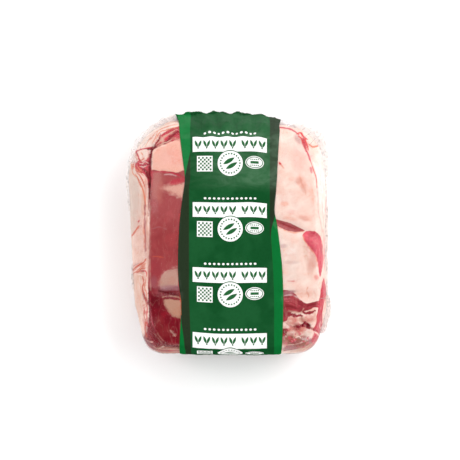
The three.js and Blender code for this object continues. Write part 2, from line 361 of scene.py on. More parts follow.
@dataclass(frozen=True)
class PackForm:
    """The outer form of the meat in its bag."""

    width: float = 225.0
    length: float = 270.0
    face_height: float = 77.0
    rim_height: float = 33.0
    sole: float = 0.78
    corner_sealed: float = 4.0
    corner_folded: float = 5.8
    lean_left: float = 0.055
    lean_right: float = 0.02
    crevice_at: float = 153.0
    crevice_spread: float = 22.0
    crevice_depth: float = 4.2
    crevice_width: float = 0.07
    gather_pitch: float = 21.0
    gather_depth: float = 1.9
    gather_spread: float = 48.0
    tent_from: float = 51.0  # the fall at which the film leaves the meat at the sealed end, in degrees
    tent_reach: float = 5.0
    tent_height: float = 40.0
    tent_spread: float = 66.0
    tent_fade: float = 22.0
    tent_foot: float = 0.72  # how far down the flank, as a share of the fall, the film under the seal starts
    tent_raggedness: float = 0.4
    tent_waves: float = 1.2
    unevenness_size: float = 34.0
    unevenness_rise: float = 1.3
    fit: tuple[float, float, float] = (0.9962, 0.9921, 0.9881)  # the solid's last fit to its box
    shift: tuple[float, float, float] = (-0.964, -0.165, 0.0)
    flat: Sides = Sides(left=0.78, right=0.88, sealed=0.8, folded=0.92)
    rim_bulges: tuple = (
        (148, 7, 2.4), (128, 7, -2.4), (63, 8, -3.0), (42, 8, 2.0), (226, 7, -4.0), (322, 6, 2.0),
    )
    # Where the meat fills what the solid has as film.
    fuller_at: tuple = ((238, 8, 4.4), (306, 9, 4.5), (331, 11, 2.5))
    swells: tuple[Swell, ...] = (
        Swell((77, 56), (30, 50), 0, 3.0),
        Swell((70, 7), (24, 6), -20, -4.0),
        Swell((70, -30), (19, 27), 0, 3.2),
        Swell((94, -18), (26, 8), -68, 1.5),
        Swell((79, -69), (26, 7), -6, -3.2),
        Swell((78, -102), (18, 14), 20, 2.4),
        Swell((-68, 8), (17, 56), 0, -2.0),
        Swell((-66, 86), (20, 20), 0, 2.2),
        Swell((-66, -64), (18, 6), -8, -3.0),
        Swell((-70, -96), (18, 22), 0, 2.0),
        Swell((4, 62), (52, 34), 0, 1.8),
        Swell((0, 28), (60, 10), 6, -1.6),
        Swell((4, -70), (50, 44), 0, 1.2),
    )

    @property
    def reach(self) -> Sides:
        """The meat's reach from the origin to each side."""
        return Sides(0.472 * self.width, 0.484 * self.width, 0.468 * self.length, 0.498 * self.length)

    def rim_distance(self, turn: np.ndarray) -> np.ndarray:
        """The distance from the middle to the rim in each direction, in radians.

        Args:
            turn: The directions in radians.

        Returns:
            The distances in millimetres, before the fit.
        """
        c = np.cos(turn)
        s = np.sin(turn)
        power = np.where(s > 0, self.corner_sealed, self.corner_folded)
        side = np.where(c < 0, self.reach.left, self.reach.right)
        end = np.where(s > 0, self.reach.sealed, self.reach.folded)
        r = ((np.abs(c) / side) ** power + (np.abs(s) / end) ** power) ** (-1.0 / power)
        r = r * (1.0 + np.where(c < 0, self.lean_left, self.lean_right) * c * c * s * r / side)
        for at, spread, rise in self.rim_bulges + self.fuller_at:
            r = r + rise * bell(angle_between(np.degrees(turn), at) / spread)
        return r

    def face_relief(self, x: np.ndarray, y: np.ndarray) -> np.ndarray:
        """The rise of the upper face over its flat, at places before the fit.

        Args:
            x: Places across the pack.
            y: Places along it.

        Returns:
            The rise in millimetres.
        """
        size = self.unevenness_size
        rise = self.unevenness_rise * smooth_noise(x / size, y / size, 0.5)
        for swell in self.swells:
            c = math.cos(math.radians(swell.turn))
            s = math.sin(math.radians(swell.turn))
            dx = x - swell.at[0]
            dy = y - swell.at[1]
            away = np.hypot((dx * c + dy * s) / swell.size[0], (dy * c - dx * s) / swell.size[1])
            rise = rise + swell.rise * bell(away)
        return rise

    def place(self, at: Stations) -> np.ndarray:
        """Places on the skin.

        Args:
            at: The stations.

        Returns:
            Their places in millimetres, one a row.
        """
        rim = self.rim_distance(at.turn)
        flat = np.where(at.upper, self.flat.blend(at.turn), self.sole)
        share = at.ring * flat + (1.0 - flat) * np.sin(at.tilt)
        degrees = np.degrees(at.turn)
        on_flank = np.sin(2.0 * at.tilt)
        folds = on_flank * bell(angle_between(degrees, 90.0) / self.gather_spread) ** 2
        wave = np.cos(2.0 * np.pi * rim * np.cos(at.turn) / self.gather_pitch)
        gather = np.where(at.upper, self.gather_depth * folds * wave, 0.0)
        lump = on_flank * smooth_noise(at.turn * 3.1, np.where(at.upper, at.tilt, -at.tilt), 7.5)
        reach = share * rim + gather + self.unevenness_rise * lump
        x = reach * np.cos(at.turn)
        y = reach * np.sin(at.turn)
        crevice = (
            self.crevice_depth
            * bell(angle_between(degrees, self.crevice_at) / self.crevice_spread)
            * bell((share - flat) / self.crevice_width)
        )
        face = self.face_height - self.rim_height + self.face_relief(x, y)
        top = self.rim_height + face * np.cos(at.tilt) - crevice + 0.5 * gather
        below = self.rim_height * (1.0 - np.cos(at.tilt))
        raw = np.stack([x, y, np.where(at.upper, top, below)], axis=-1)
        return raw * self.fit + self.shift

    def stations_over(self, x: np.ndarray, y: np.ndarray) -> Stations:
        """The stations of the upper skin over places in the plane, before the fit.

        Args:
            x: Places across.
            y: Places along.

        Returns:
            The stations, with places past the rim brought back to it.
        """
        turn = np.arctan2(y, x)
        flat = self.flat.blend(turn)
        share = np.hypot(x, y) / self.rim_distance(turn)
        past = np.clip((share - flat) / (1.0 - flat), 0.0, 1.0)
        return Stations(turn, np.minimum(share / flat, 1.0), np.arcsin(past), np.ones_like(turn, dtype=bool))

    def unfitted(self, plan: np.ndarray) -> np.ndarray:
        """Places in the plane as they are before the fit."""
        return (plan - self.shift[:2]) / self.fit[:2]

    def tent(self, at: Stations, base: np.ndarray, normals: np.ndarray) -> np.ndarray:
        """How far the film at the sealed end stands off the skin, where it runs straight to the seal.

        Args:
            at: The stations.
            base: Their places on the skin.
            normals: The skin's outward directions there.

        Returns:
            The way from each place to the film over it, which never goes inwards.
        """
        leave = math.radians(self.tent_from)
        falls = np.full_like(at.tilt, leave)
        shoulder = self.place(Stations(at.turn, np.ones_like(at.ring), falls, np.ones_like(at.upper)))
        degrees = np.degrees(at.turn)
        ragged = 1.0 + self.tent_raggedness * smooth_noise(degrees / 2.2, 0.5, 0.5)
        reach = self.rim_distance(at.turn) + self.tent_reach * ragged
        height = self.tent_height + self.tent_waves * smooth_noise(degrees / 3.1, 4.5, 0.5)
        seal = np.stack([reach * np.cos(at.turn), reach * np.sin(at.turn), height], axis=-1)
        seal = seal * self.fit + self.shift
        share = np.clip((at.tilt - leave) / (0.5 * np.pi - leave), 0.0, 1.0)[..., None]
        above = shoulder + (seal - shoulder) * share - base
        below = (seal - base) * smooth_step(self.tent_foot, 1.0, at.tilt / (0.5 * np.pi))[..., None]
        away = np.where(at.upper[..., None], above * (share > 0.0), below)
        full = self.tent_spread - self.tent_fade
        spread = smooth_step(self.tent_spread, full, angle_between(degrees, 90.0))
        away = away * (spread * (at.ring >= 1.0))[..., None]
        return away - normals * np.minimum(np.sum(away * normals, axis=-1, keepdims=True), 0.0)


FORM = PackForm()


# ---------------------------------------------------------------------------------------------------------
# Meshes
# ---------------------------------------------------------------------------------------------------------


def linked(name: str, data: bpy.types.ID) -> bpy.types.Object:
    """A new object with some data, linked to the scene.

    Args:
        name: The object's name.
        data: Its mesh, lamp or camera.

    Returns:
        The object.
    """
    thing = bpy.data.objects.new(name, data)
    bpy.context.scene.collection.objects.link(thing)
    return thing


def make_piece(name: str, places: np.ndarray, faces: np.ndarray | list, edges: list = ()) -> bpy.types.Object:
    """A mesh object from places in millimetres.

    Args:
        name: The piece's name.
        places: Its vertices, one a row.
        faces: Its faces, each a row of vertex numbers.
        edges: Its loose edges, each a pair of vertex numbers.

    Returns:
        The object, linked to the scene and smooth.
    """
    mesh = bpy.data.meshes.new(name)
    quads = faces.tolist() if isinstance(faces, np.ndarray) else faces
    mesh.from_pydata((np.asarray(places) * MILLIMETRE).tolist(), edges, quads)
    mesh.validate()
    mesh.shade_smooth()
    return linked(name, mesh)


def paint(piece: bpy.types.Object, name: str, values: np.ndarray) -> None:
    """Stores a value or a colour for each vertex of a piece.

    Args:
        piece: The piece.
        name: The attribute's name.
        values: One number a vertex, or one linear RGB colour a vertex.
    """
    if values.ndim == 1:
        layer = piece.data.attributes.new(name, "FLOAT", "POINT")
        layer.data.foreach_set("value", values.astype(np.float32))
    else:
        layer = piece.data.attributes.new(name, "FLOAT_COLOR", "POINT")
        colours = np.column_stack([values, np.ones(len(values))]).astype(np.float32)
        layer.data.foreach_set("color", colours.ravel())


def vertex_normals(places: np.ndarray, quads: np.ndarray) -> np.ndarray:
    """The outward direction at each vertex of a mesh of quads.

    Args:
        places: The vertices' places, one a row.
        quads: The faces, each a row of vertex numbers.

    Returns:
        A direction for each vertex.
    """
    a, b, c, d = (places[quads[:, n]] for n in range(4))
    facing = np.cross(c - a, d - b)
    total = np.zeros_like(places)
    for n in range(4):
        for axis in range(3):
            total[:, axis] += np.bincount(quads[:, n], facing[:, axis], len(places))
    return total / np.maximum(np.linalg.norm(total, axis=1, keepdims=True), 1e-9)


def grid_quads(rows: int, columns: int, closed: bool = False) -> np.ndarray:
    """The faces of a grid of vertices that are numbered row by row.

    Args:
        rows: How many rows of vertices.
        columns: How many vertices a row has.
        closed: Whether each row runs back to its start.

    Returns:
        The quads.
    """
    i, j = np.meshgrid(np.arange(rows - 1), np.arange(columns if closed else columns - 1), indexing="ij")
    a = (i * columns + j).ravel()
    b = (i * columns + (j + 1) % columns).ravel()
    return np.column_stack([a, b, b + columns, a + columns])


@dataclass
class SkinGrid:
    """A closed mesh of quads over the whole form: a box of small faces, pulled into shape.

    The faces are small where the meat shows and large under the band.
    """

    kept: float = 0.4  # of a value in each round of smoothing
    left_columns: int = 50
    band_columns: int = 34
    right_columns: int = 64
    rows: int = 226
    upper_levels: int = 32
    lower_levels: int = 7
    band_from: float = -0.63  # shares of the flat's reach between which the band hides the meat
    band_to: float = 0.53
    places: np.ndarray = field(init=False)
    quads: np.ndarray = field(init=False)
    at: Stations = field(init=False)

    def __post_init__(self) -> None:
        """Lays out the vertices and the faces."""
        across = np.concatenate([
            np.linspace(-1.0, self.band_from, self.left_columns, endpoint=False),
            np.linspace(self.band_from, self.band_to, self.band_columns, endpoint=False),
            np.linspace(self.band_to, 1.0, self.right_columns + 1),
        ])
        along = np.linspace(-1.0, 1.0, self.rows + 1)
        up = np.concatenate([
            np.linspace(-1.0, 0.0, self.lower_levels, endpoint=False),
            np.linspace(0.0, 1.0, self.upper_levels + 1),
        ])
        counts = (len(across), len(along), len(up))
        shell = np.ones(counts, dtype=bool)
        shell[1:-1, 1:-1, 1:-1] = False
        number = np.full(counts, -1)
        number[shell] = np.arange(shell.sum())
        i, j, k = np.nonzero(shell)
        x, y, z = across[i], along[j], up[k]
        turn = np.arctan2(y * FORM.reach.folded, x * FORM.reach.right)
        ring = np.maximum(np.abs(x), np.abs(y))
        tilt = (1.0 - np.abs(z)) * np.pi / 2
        self.at = Stations(turn, ring, tilt, z >= 0)
        self.places = FORM.place(self.at)
        walls = [
            (number[:, :, -1], False),
            (number[:, :, 0], True),
            (number[:, 0, :], False),
            (number[:, -1, :], True),
            (number[0, :, :], True),
            (number[-1, :, :], False),
        ]
        self.quads = np.vstack([self.wall_quads(wall, turned) for wall, turned in walls])

    @staticmethod
    def wall_quads(wall: np.ndarray, turned: bool) -> np.ndarray:
        """The faces of one side of the box, turned round where its grid runs the other way.

        Args:
            wall: The vertex numbers of the side, as a grid.
            turned: Whether that grid runs the other way.

        Returns:
            The faces, each a row of vertex numbers.
        """
        a = wall[:-1, :-1].ravel()
        b = wall[1:, :-1].ravel()
        c = wall[1:, 1:].ravel()
        d = wall[:-1, 1:].ravel()
        return np.column_stack([a, d, c, b] if turned else [a, b, c, d])

    def plan(self) -> np.ndarray:
        """Where the photograph shows each vertex: below the rim that is the rim's place.

        Returns:
            A place in the plane for each vertex.
        """
        falls = np.full_like(self.at.tilt, np.pi / 2)
        rim = Stations(self.at.turn, np.ones_like(self.at.ring), falls, self.at.upper)
        return np.where(self.at.upper[:, None], PHOTO.seen(self.places), PHOTO.seen(FORM.place(rim)))

    def smoothed(self, values: np.ndarray, rounds: int) -> np.ndarray:
        """Values averaged with their neighbours' along the mesh, so many rounds.

        Args:
            values: A number for each vertex.
            rounds: How often they are averaged.

        Returns:
            The smoothed numbers.
        """
        starts = self.quads.ravel()
        ends = np.roll(self.quads, -1, axis=1).ravel()
        count = np.bincount(starts, minlength=len(values)) + np.bincount(ends, minlength=len(values))
        for _ in range(rounds):
            ahead = np.bincount(starts, values[ends], len(values))
            behind = np.bincount(ends, values[starts], len(values))
            values = self.kept * values + (1.0 - self.kept) * (ahead + behind) / count
        return values


# ---------------------------------------------------------------------------------------------------------
# What shows through the film: pixels of the photograph, which PHOTO turns into places on the pack
# ---------------------------------------------------------------------------------------------------------


@dataclass(frozen=True)
class Patch:
    """A stretch of lean or fat with an outline: softness is how many pixels its edge blurs over."""

    name: str
    tissue: Tissue
    tone: Tone
    softness: float
    coarse: float  # how strongly its fibres and marbling show
    outline: tuple[tuple[float, float], ...]


@dataclass(frozen=True)
class Oval:
    """A soft oval with a ragged edge: its middle, half sizes, turn in degrees, and strength."""

    name: str
    middle: tuple[float, float]
    radii: tuple[float, float]
    turn: float
    strength: float


@dataclass(frozen=True)
class Spot(Oval):
    """A soft tint on whatever tissue lies there."""

    tone: Tone
    swell: float = 0.0  # how far it stands out, in millimetres
    tints_lean: bool = True


@dataclass(frozen=True)
class FatSpot(Spot):
    """A soft tint on fat alone."""

    tints_lean: bool = False


@dataclass(frozen=True)
class Thread:
    """A vessel, sinew or crease: width in pixels, strength of its colour, and relief.

    A relief below 0 is the depth of a groove. One above 0 makes a strand that lies on the meat.
    Some threads are a painted highlight or painted shade along a line.
    """

    name: str
    tone: Tone
    width: float
    strength: float
    relief: float
    points: tuple[tuple[float, float], ...]


PATCHES = (
    Patch("fat pad", Tissue.FAT, Tone.PEACH, 0.7, 0.3, (
        (151.4, 155), (152.6, 151), (155, 148.6), (158, 146.4), (163, 144.4), (168, 143.4), (173, 141.4),
        (180, 139.2), (192, 136), (192, 180), (184, 177.4), (176, 173.2), (168, 171.8), (160, 171.6),
        (151.5, 172),
    )),
    Patch("eye", Tissue.LEAN, Tone.MUSCLE, 0.9, 0.1, (
        (151, 171.8), (160, 171.4), (168, 171.5), (176, 172.8), (190, 178), (196, 262), (178, 268.5),
        (168, 270), (162.4, 274.6), (160, 280), (160.4, 286.4), (159, 293), (148.6, 294), (148.6, 262),
        (149.5, 230), (150, 200),
    )),
    Patch("pale streak", Tissue.FAT, Tone.ROSE, 6, 0.1, (
        (163, 188.2), (167.5, 185.6), (176, 184.4), (192, 183), (192, 200), (183, 198), (176, 195),
        (168.5, 192),
    )),
    Patch("grey fat", Tissue.FAT, Tone.GREY_FAT, 5, 0.2, (
        (192, 265), (178, 268), (170.5, 270), (164.5, 274), (160, 279.5), (160, 284.6), (166, 286.8),
        (192, 289),
    )),
    Patch("deep muscle", Tissue.LEAN, Tone.DEEP, 1, 0.5, (
        (148.5, 291), (158, 289.5), (190, 291), (192, 347), (178, 346.5), (168, 346.6), (160, 348),
        (156, 352), (150, 358), (138, 350), (143.4, 338), (147.4, 327), (148.8, 312),
    )),
    Patch("foot", Tissue.LEAN, Tone.RUST, 0.9, 0.6, (
        (154, 351), (160, 348.4), (168, 347.4), (192, 347.4), (192, 362), (150, 362),
    )),
    Patch("island", Tissue.FAT, Tone.SAND, 1.3, 0.4, (
        (163.4, 300), (168, 299.2), (177, 300), (192, 302), (192, 319), (178, 318.2), (172.5, 316),
        (168, 311), (164.6, 305.8),
    )),
    Patch("wedge", Tissue.LEAN, Tone.CRIMSON, 0.8, 0.5, (
        (150, 147.4), (153.6, 145), (157, 140.4), (160.4, 135.4), (165, 132), (171, 128.6), (178.6, 126.4),
        (192, 122), (192, 135.4), (180, 139), (173, 141.2), (168, 143.2), (163, 144.2), (158, 146.2),
        (154, 148.4),
    )),
    Patch("knuckle", Tissue.LEAN, Tone.CRIMSON, 0.8, 0.6, (
        (135.6, 163), (139, 160.6), (144, 161.4), (148.4, 158), (151, 160), (151, 184), (148.4, 188),
        (146.6, 177), (142, 173.4), (136.6, 171.6), (135, 167.4),
    )),
    Patch("cap seam", Tissue.LEAN, Tone.MUSCLE, 0.6, 0.15, (
        (268, 216.5), (277, 219.4), (284, 221.4), (290, 223.1), (297, 226.4), (304.6, 230.6), (297, 232),
        (290, 231.3), (284, 229.4), (277, 226), (268, 223),
    )),
    Patch("side muscle", Tissue.LEAN, Tone.CORAL, 0.6, 0.7, (
        (302.6, 234.2), (306, 231.4), (311, 230.8), (317, 232.5), (321, 237.5), (322.8, 246), (323.4, 258),
        (322.6, 268), (321, 276), (319.4, 275), (318.2, 264), (316, 255.5), (311, 249), (306, 243),
        (303.6, 238.6),
    )),
    Patch("fan", Tissue.LEAN, Tone.RED, 0.6, 0.4, (
        (270, 291.5), (284, 290), (290, 291), (295, 293.8), (298.6, 298.4), (302.4, 301.4), (306.5, 303.4),
        (312, 302.4), (320, 301), (319, 307.4), (314, 307.4), (310, 309.6), (305, 311), (300, 312),
        (296, 311.8), (292.4, 312), (290, 314), (288, 318), (285, 321.4), (270, 323),
    )),
    Patch("strip", Tissue.LEAN, Tone.CRIMSON, 0.7, 0.4, (
        (324.2, 278), (326.4, 290), (325.6, 299), (323.6, 306), (322.6, 313), (322.6, 320), (321.4, 328),
        (318, 338), (313, 344), (311, 341), (314.6, 334), (313, 330), (315.6, 324), (317, 314), (318.6, 305),
        (319.8, 295), (322, 284),
    )),
    Patch("lump gap", Tissue.LEAN, Tone.RED, 1.3, 1.0, (
        (286, 313.4), (291, 313.2), (296, 314.4), (301, 314.2), (303, 315.6), (298, 317.2), (292, 316.4),
        (287, 316.8),
    )),
    Patch("lump gap right", Tissue.LEAN, Tone.RED, 1.2, 1.0, (
        (302, 311.6), (306, 312.2), (310, 311.2), (315, 309.8), (314.4, 312.2), (309, 314), (304.6, 314.2),
    )),
    Patch("gap", Tissue.LEAN, Tone.DEEP, 1.1, 1.0, (
        (293, 326.6), (298, 325), (302, 323.6), (305, 321.6), (307.4, 323), (310.6, 325.6), (309, 329),
        (305, 327), (299, 327.6),
    )),
    Patch("pocket", Tissue.LEAN, Tone.DEEP, 0.8, 1.0, (
        (270, 328), (284, 328.4), (288.4, 329), (287.8, 332), (284.6, 336), (270, 340),
    )),
)

SPOTS = (
    FatSpot("upper shoulder", (150, 132), (26, 15), 35, 0.9, Tone.SHELL),
    Spot("wedge end", (180, 131), (4, 4), 0, 0.5, Tone.RED),
    Spot("wedge low", (176, 139), (7, 1.8), -14, 0.7, Tone.SALMON),
    Spot("wedge pale", (161, 139), (4.4, 3), -50, 0.8, Tone.TAN),
    FatSpot("left flank", (132, 200), (12, 44), 0, 0.9, Tone.PARCHMENT),
    # painted shade: a darker tan stripe down the left flank
    FatSpot("flank shade stripe", (143.6, 202), (3, 18), 0, 0.8, Tone.TAN),
    Spot("flank salmon", (146, 186), (2, 15), 0, 0.6, Tone.SALMON),
    FatSpot("flank pink", (141, 240), (8, 34), 0, 0.5, Tone.ROSE),
    FatSpot("lower flank", (137, 298), (9, 34), 0, 0.6, Tone.TAN),
    FatSpot("pad glow", (172, 158), (16, 10), 0, 0.4, Tone.BLUSH),
    # lighter at the top of the eye: partly the muscle's own colour, partly painted sheen
    Spot("eye top", (158, 187), (8, 16), 0, 0.4, Tone.SALMON),
    Spot("eye streak", (177, 181.6), (10, 3), 14, 0.75, Tone.CRIMSON),
    # darker lower on the eye: partly the muscle's own colour, partly painted shade
    Spot("eye low", (168, 244), (24, 26), 0, 0.6, Tone.BRICK),
    Spot("eye mauve", (155, 270), (7, 14), 0, 0.8, Tone.RED),
    Spot("eye bruise", (153, 282), (5, 7), -10, 0.6, Tone.VIOLET),
    Spot("mauve edge", (170, 288), (16, 3.4), 4, 0.85, Tone.MAUVE),
    Spot("deep high", (155, 291), (7, 4), 20, 0.7, Tone.RED),
    Spot("deep left", (154, 303), (7, 10), 0, 0.7, Tone.CLOT),
    Spot("deep right", (178, 326), (10, 9), 0, 0.6, Tone.DEEP),
    Spot("brick lump", (159, 322), (5.6, 6.4), -30, 0.55, Tone.BRICK, 0.7),
    Spot("brick lump low", (165, 332), (6.5, 8), -30, 0.6, Tone.BRICK, 0.5),
    Spot("crimson edge", (148, 330), (4, 15), -10, 0.6, Tone.RED),
    Spot("foot rim", (170, 352.4), (20, 1.6), 3, 0.4, Tone.SALMON),
    Spot("foot corner", (150, 348), (6, 4), -45, 0.7, Tone.RED),
    Spot("cream lump", (144, 154.4), (4.6, 4.8), 0, 0.95, Tone.SHELL, 0.8),
    FatSpot("blush high", (301, 182), (5, 8), 18, 0.75, Tone.PEACH),
    FatSpot("blush upper", (288, 174.6), (6, 3), 10, 0.4, Tone.PEACH),
    FatSpot("blush low", (284.6, 204), (4.4, 2.6), 0, 0.6, Tone.PEACH),
    FatSpot("blush edge", (306, 218), (7, 3.4), -20, 0.6, Tone.PEACH),
    FatSpot("blush middle", (291, 212), (5, 3), 0, 0.4, Tone.BLUSH),
    FatSpot("cap dusk", (299, 158), (8, 16), 15, 0.35, Tone.BLUSH),
    Spot("purple hollow", (298, 139.4), (3.6, 6), 30, 0.5, Tone.MAUVE),
    # pale fat and milky film on the right wall, brightened further by painted sheen where the film faces the
    # right-hand lamp
    FatSpot("white wall sheen", (324, 172), (9, 46), 0, 0.9, Tone.IVORY),
    FatSpot("right wall sheen", (331, 250), (4.4, 44), 0, 0.85, Tone.IVORY),
    FatSpot("cream lump right", (290, 254), (16, 26), 0, 0.6, Tone.SHELL, 1.0),
    # painted shade in the creamy lump's dimple and fold, which also sink a little
    Spot("shaded dimple", (284, 246), (4.4, 2.4), 0, 0.36, Tone.MAUVE, -0.6),
    Spot("shaded fold", (291, 262.5), (8, 2.2), 0, 0.22, Tone.MAUVE, -0.5),
    # painted highlight on the top of the creamy lump, which also swells a little
    Spot("swell highlight", (291, 252), (6, 4), 0, 0.5, Tone.IVORY, 0.4),
    # painted shadow: a tan strip down the creamy lump's right side
    FatSpot("tan shadow strip", (306, 256), (2.4, 20), 8, 0.35, Tone.TAN),
    FatSpot("tan flank", (313, 262), (5, 15), -12, 0.5, Tone.SALMON),
    Spot("red heel", (317, 277.5), (3, 3), 0, 0.5, Tone.VESSEL),
    FatSpot("pink shelf", (291, 279), (14, 5), 0, 0.5, Tone.SHELL),
    FatSpot("fat corner", (305, 292), (11, 8), 20, 0.35, Tone.PEACH),
    Spot("mauve lip", (289, 292.5), (9, 2.4), 10, 0.85, Tone.MAUVE),
    Spot("fan core", (290, 304), (8, 6), 10, 0.5, Tone.BRICK),
    FatSpot("small lump", (312.6, 309.4), (4.8, 2), 14, 0.9, Tone.PEACH, 0.7),
    FatSpot("thin lump", (297, 312), (7, 1.3), -6, 0.9, Tone.SAND, 0.3),
    FatSpot("pink lump", (292.6, 320.4), (7, 4.6), 0, 0.95, Tone.SALMON, 0.9),
    FatSpot("tan lump", (302.6, 319.6), (4, 3.4), 0, 0.8, Tone.SAND, 0.5),
    FatSpot("pink lump right", (309.4, 319), (5.4, 4.4), 0, 0.8, Tone.SALMON, 0.8),
    FatSpot("side lump", (315, 317), (2.4, 6), 0, 0.8, Tone.ROSE, 0.4),
    Spot("gap core", (308, 325.6), (3, 2.2), 0, 0.9, Tone.CLOT, -0.8),
    FatSpot("low pinks", (298, 329), (17, 5), 0, 0.9, Tone.SALMON),
    Spot("low pinks red", (297, 329), (4.4, 1.6), 0, 0.8, Tone.RED),
    FatSpot("pale low lump", (292.6, 332.8), (3.6, 2.4), 0, 0.8, Tone.SHELL, 0.5),
    FatSpot("white lump", (308, 332.2), (4.8, 3.8), 0, 0.98, Tone.SHELL, 0.9),
    Spot("corner", (297, 342), (20, 9), -10, 0.98, Tone.RUST),
    Spot("corner brown", (293.6, 341.6), (4.4, 2.4), 0, 0.6, Tone.RED),
    Spot("corner pale", (303, 348.6), (9, 2.2), 20, 0.75, Tone.TAN),
    Spot("corner grey", (306, 338.6), (5, 2), 0, 0.6, Tone.LILAC),
    Spot("corner violet", (310.4, 340.6), (2.6, 2.4), 0, 0.85, Tone.UMBER),
    Spot("corner rim", (316, 337), (3.6, 11), -22, 0.98, Tone.CRIMSON),
    FatSpot("blush a", (298.6, 181), (4.4, 3.4), 0, 0.35, Tone.SALMON),
    FatSpot("blush b", (303.4, 188), (3, 5.4), 14, 0.3, Tone.SALMON),
    FatSpot("blush c", (284.4, 203.6), (5, 2.8), 0, 0.7, Tone.PEACH),
    FatSpot("blush d", (304, 218.4), (6.4, 2.6), -14, 0.35, Tone.SALMON),
    FatSpot("blush e", (291.6, 178.6), (4, 2.6), 0, 0.6, Tone.PEACH),
    FatSpot("blush f", (277.6, 192), (5, 3), 0, 0.45, Tone.PEACH),
    FatSpot("blush g", (312.6, 197), (3, 9), 6, 0.45, Tone.PEACH),
    FatSpot("blush h", (291, 218.6), (7, 2), -12, 0.55, Tone.PEACH),
    FatSpot("blush i", (281, 172), (5, 2.4), 12, 0.4, Tone.PEACH),
    FatSpot("blush j", (295, 240), (5, 4), 0, 0.35, Tone.PEACH),
    FatSpot("knot", (139.6, 268), (8, 6), -25, 0.5, Tone.SALMON),
    FatSpot("knot deep", (143, 265), (3, 3.4), 0, 0.5, Tone.ORANGE),
    FatSpot("knot low", (141, 277), (6, 4), 0, 0.6, Tone.TAN),
    FatSpot("flank speck a", (144.8, 284), (1.2, 2.6), 0, 0.5, Tone.ORANGE),
    FatSpot("flank speck b", (143, 290.6), (1.6, 3), 10, 0.6, Tone.SALMON),
    FatSpot("flank speck c", (145.2, 313), (1.4, 3), 0, 0.5, Tone.ORANGE),
    FatSpot("flank speck d", (143.6, 321), (1.6, 4), 0, 0.5, Tone.SALMON),
    FatSpot("lump a", (287.8, 327), (2.4, 1.6), 0, 0.75, Tone.SHELL, 0.3),
    FatSpot("lump b", (301.8, 334), (2.8, 1.8), 0, 0.7, Tone.SHELL, 0.4),
    FatSpot("lump c", (296, 335.4), (3, 1.6), 0, 0.6, Tone.PEACH, 0.3),
    Spot("lump d", (290.6, 337.2), (2.6, 1.2), 0, 0.55, Tone.RED),
    Spot("lump e", (304, 337), (2.2, 1), 0, 0.55, Tone.BRICK),
    Spot("lump f", (299.6, 331.4), (1.6, 1), 0, 0.5, Tone.ORANGE),
    FatSpot("lump g", (290, 321), (2.6, 1.6), 0, 0.5, Tone.SHELL, 0.3),
    Spot("lump h", (297, 324.6), (4, 1.6), -12, 0.7, Tone.BRICK),
    FatSpot("lump i", (308.6, 317), (2.2, 2), 0, 0.5, Tone.CREAM, 0.3),
    Spot("corner foot", (289, 348.6), (9, 2.6), 4, 0.8, Tone.MAUVE),
)

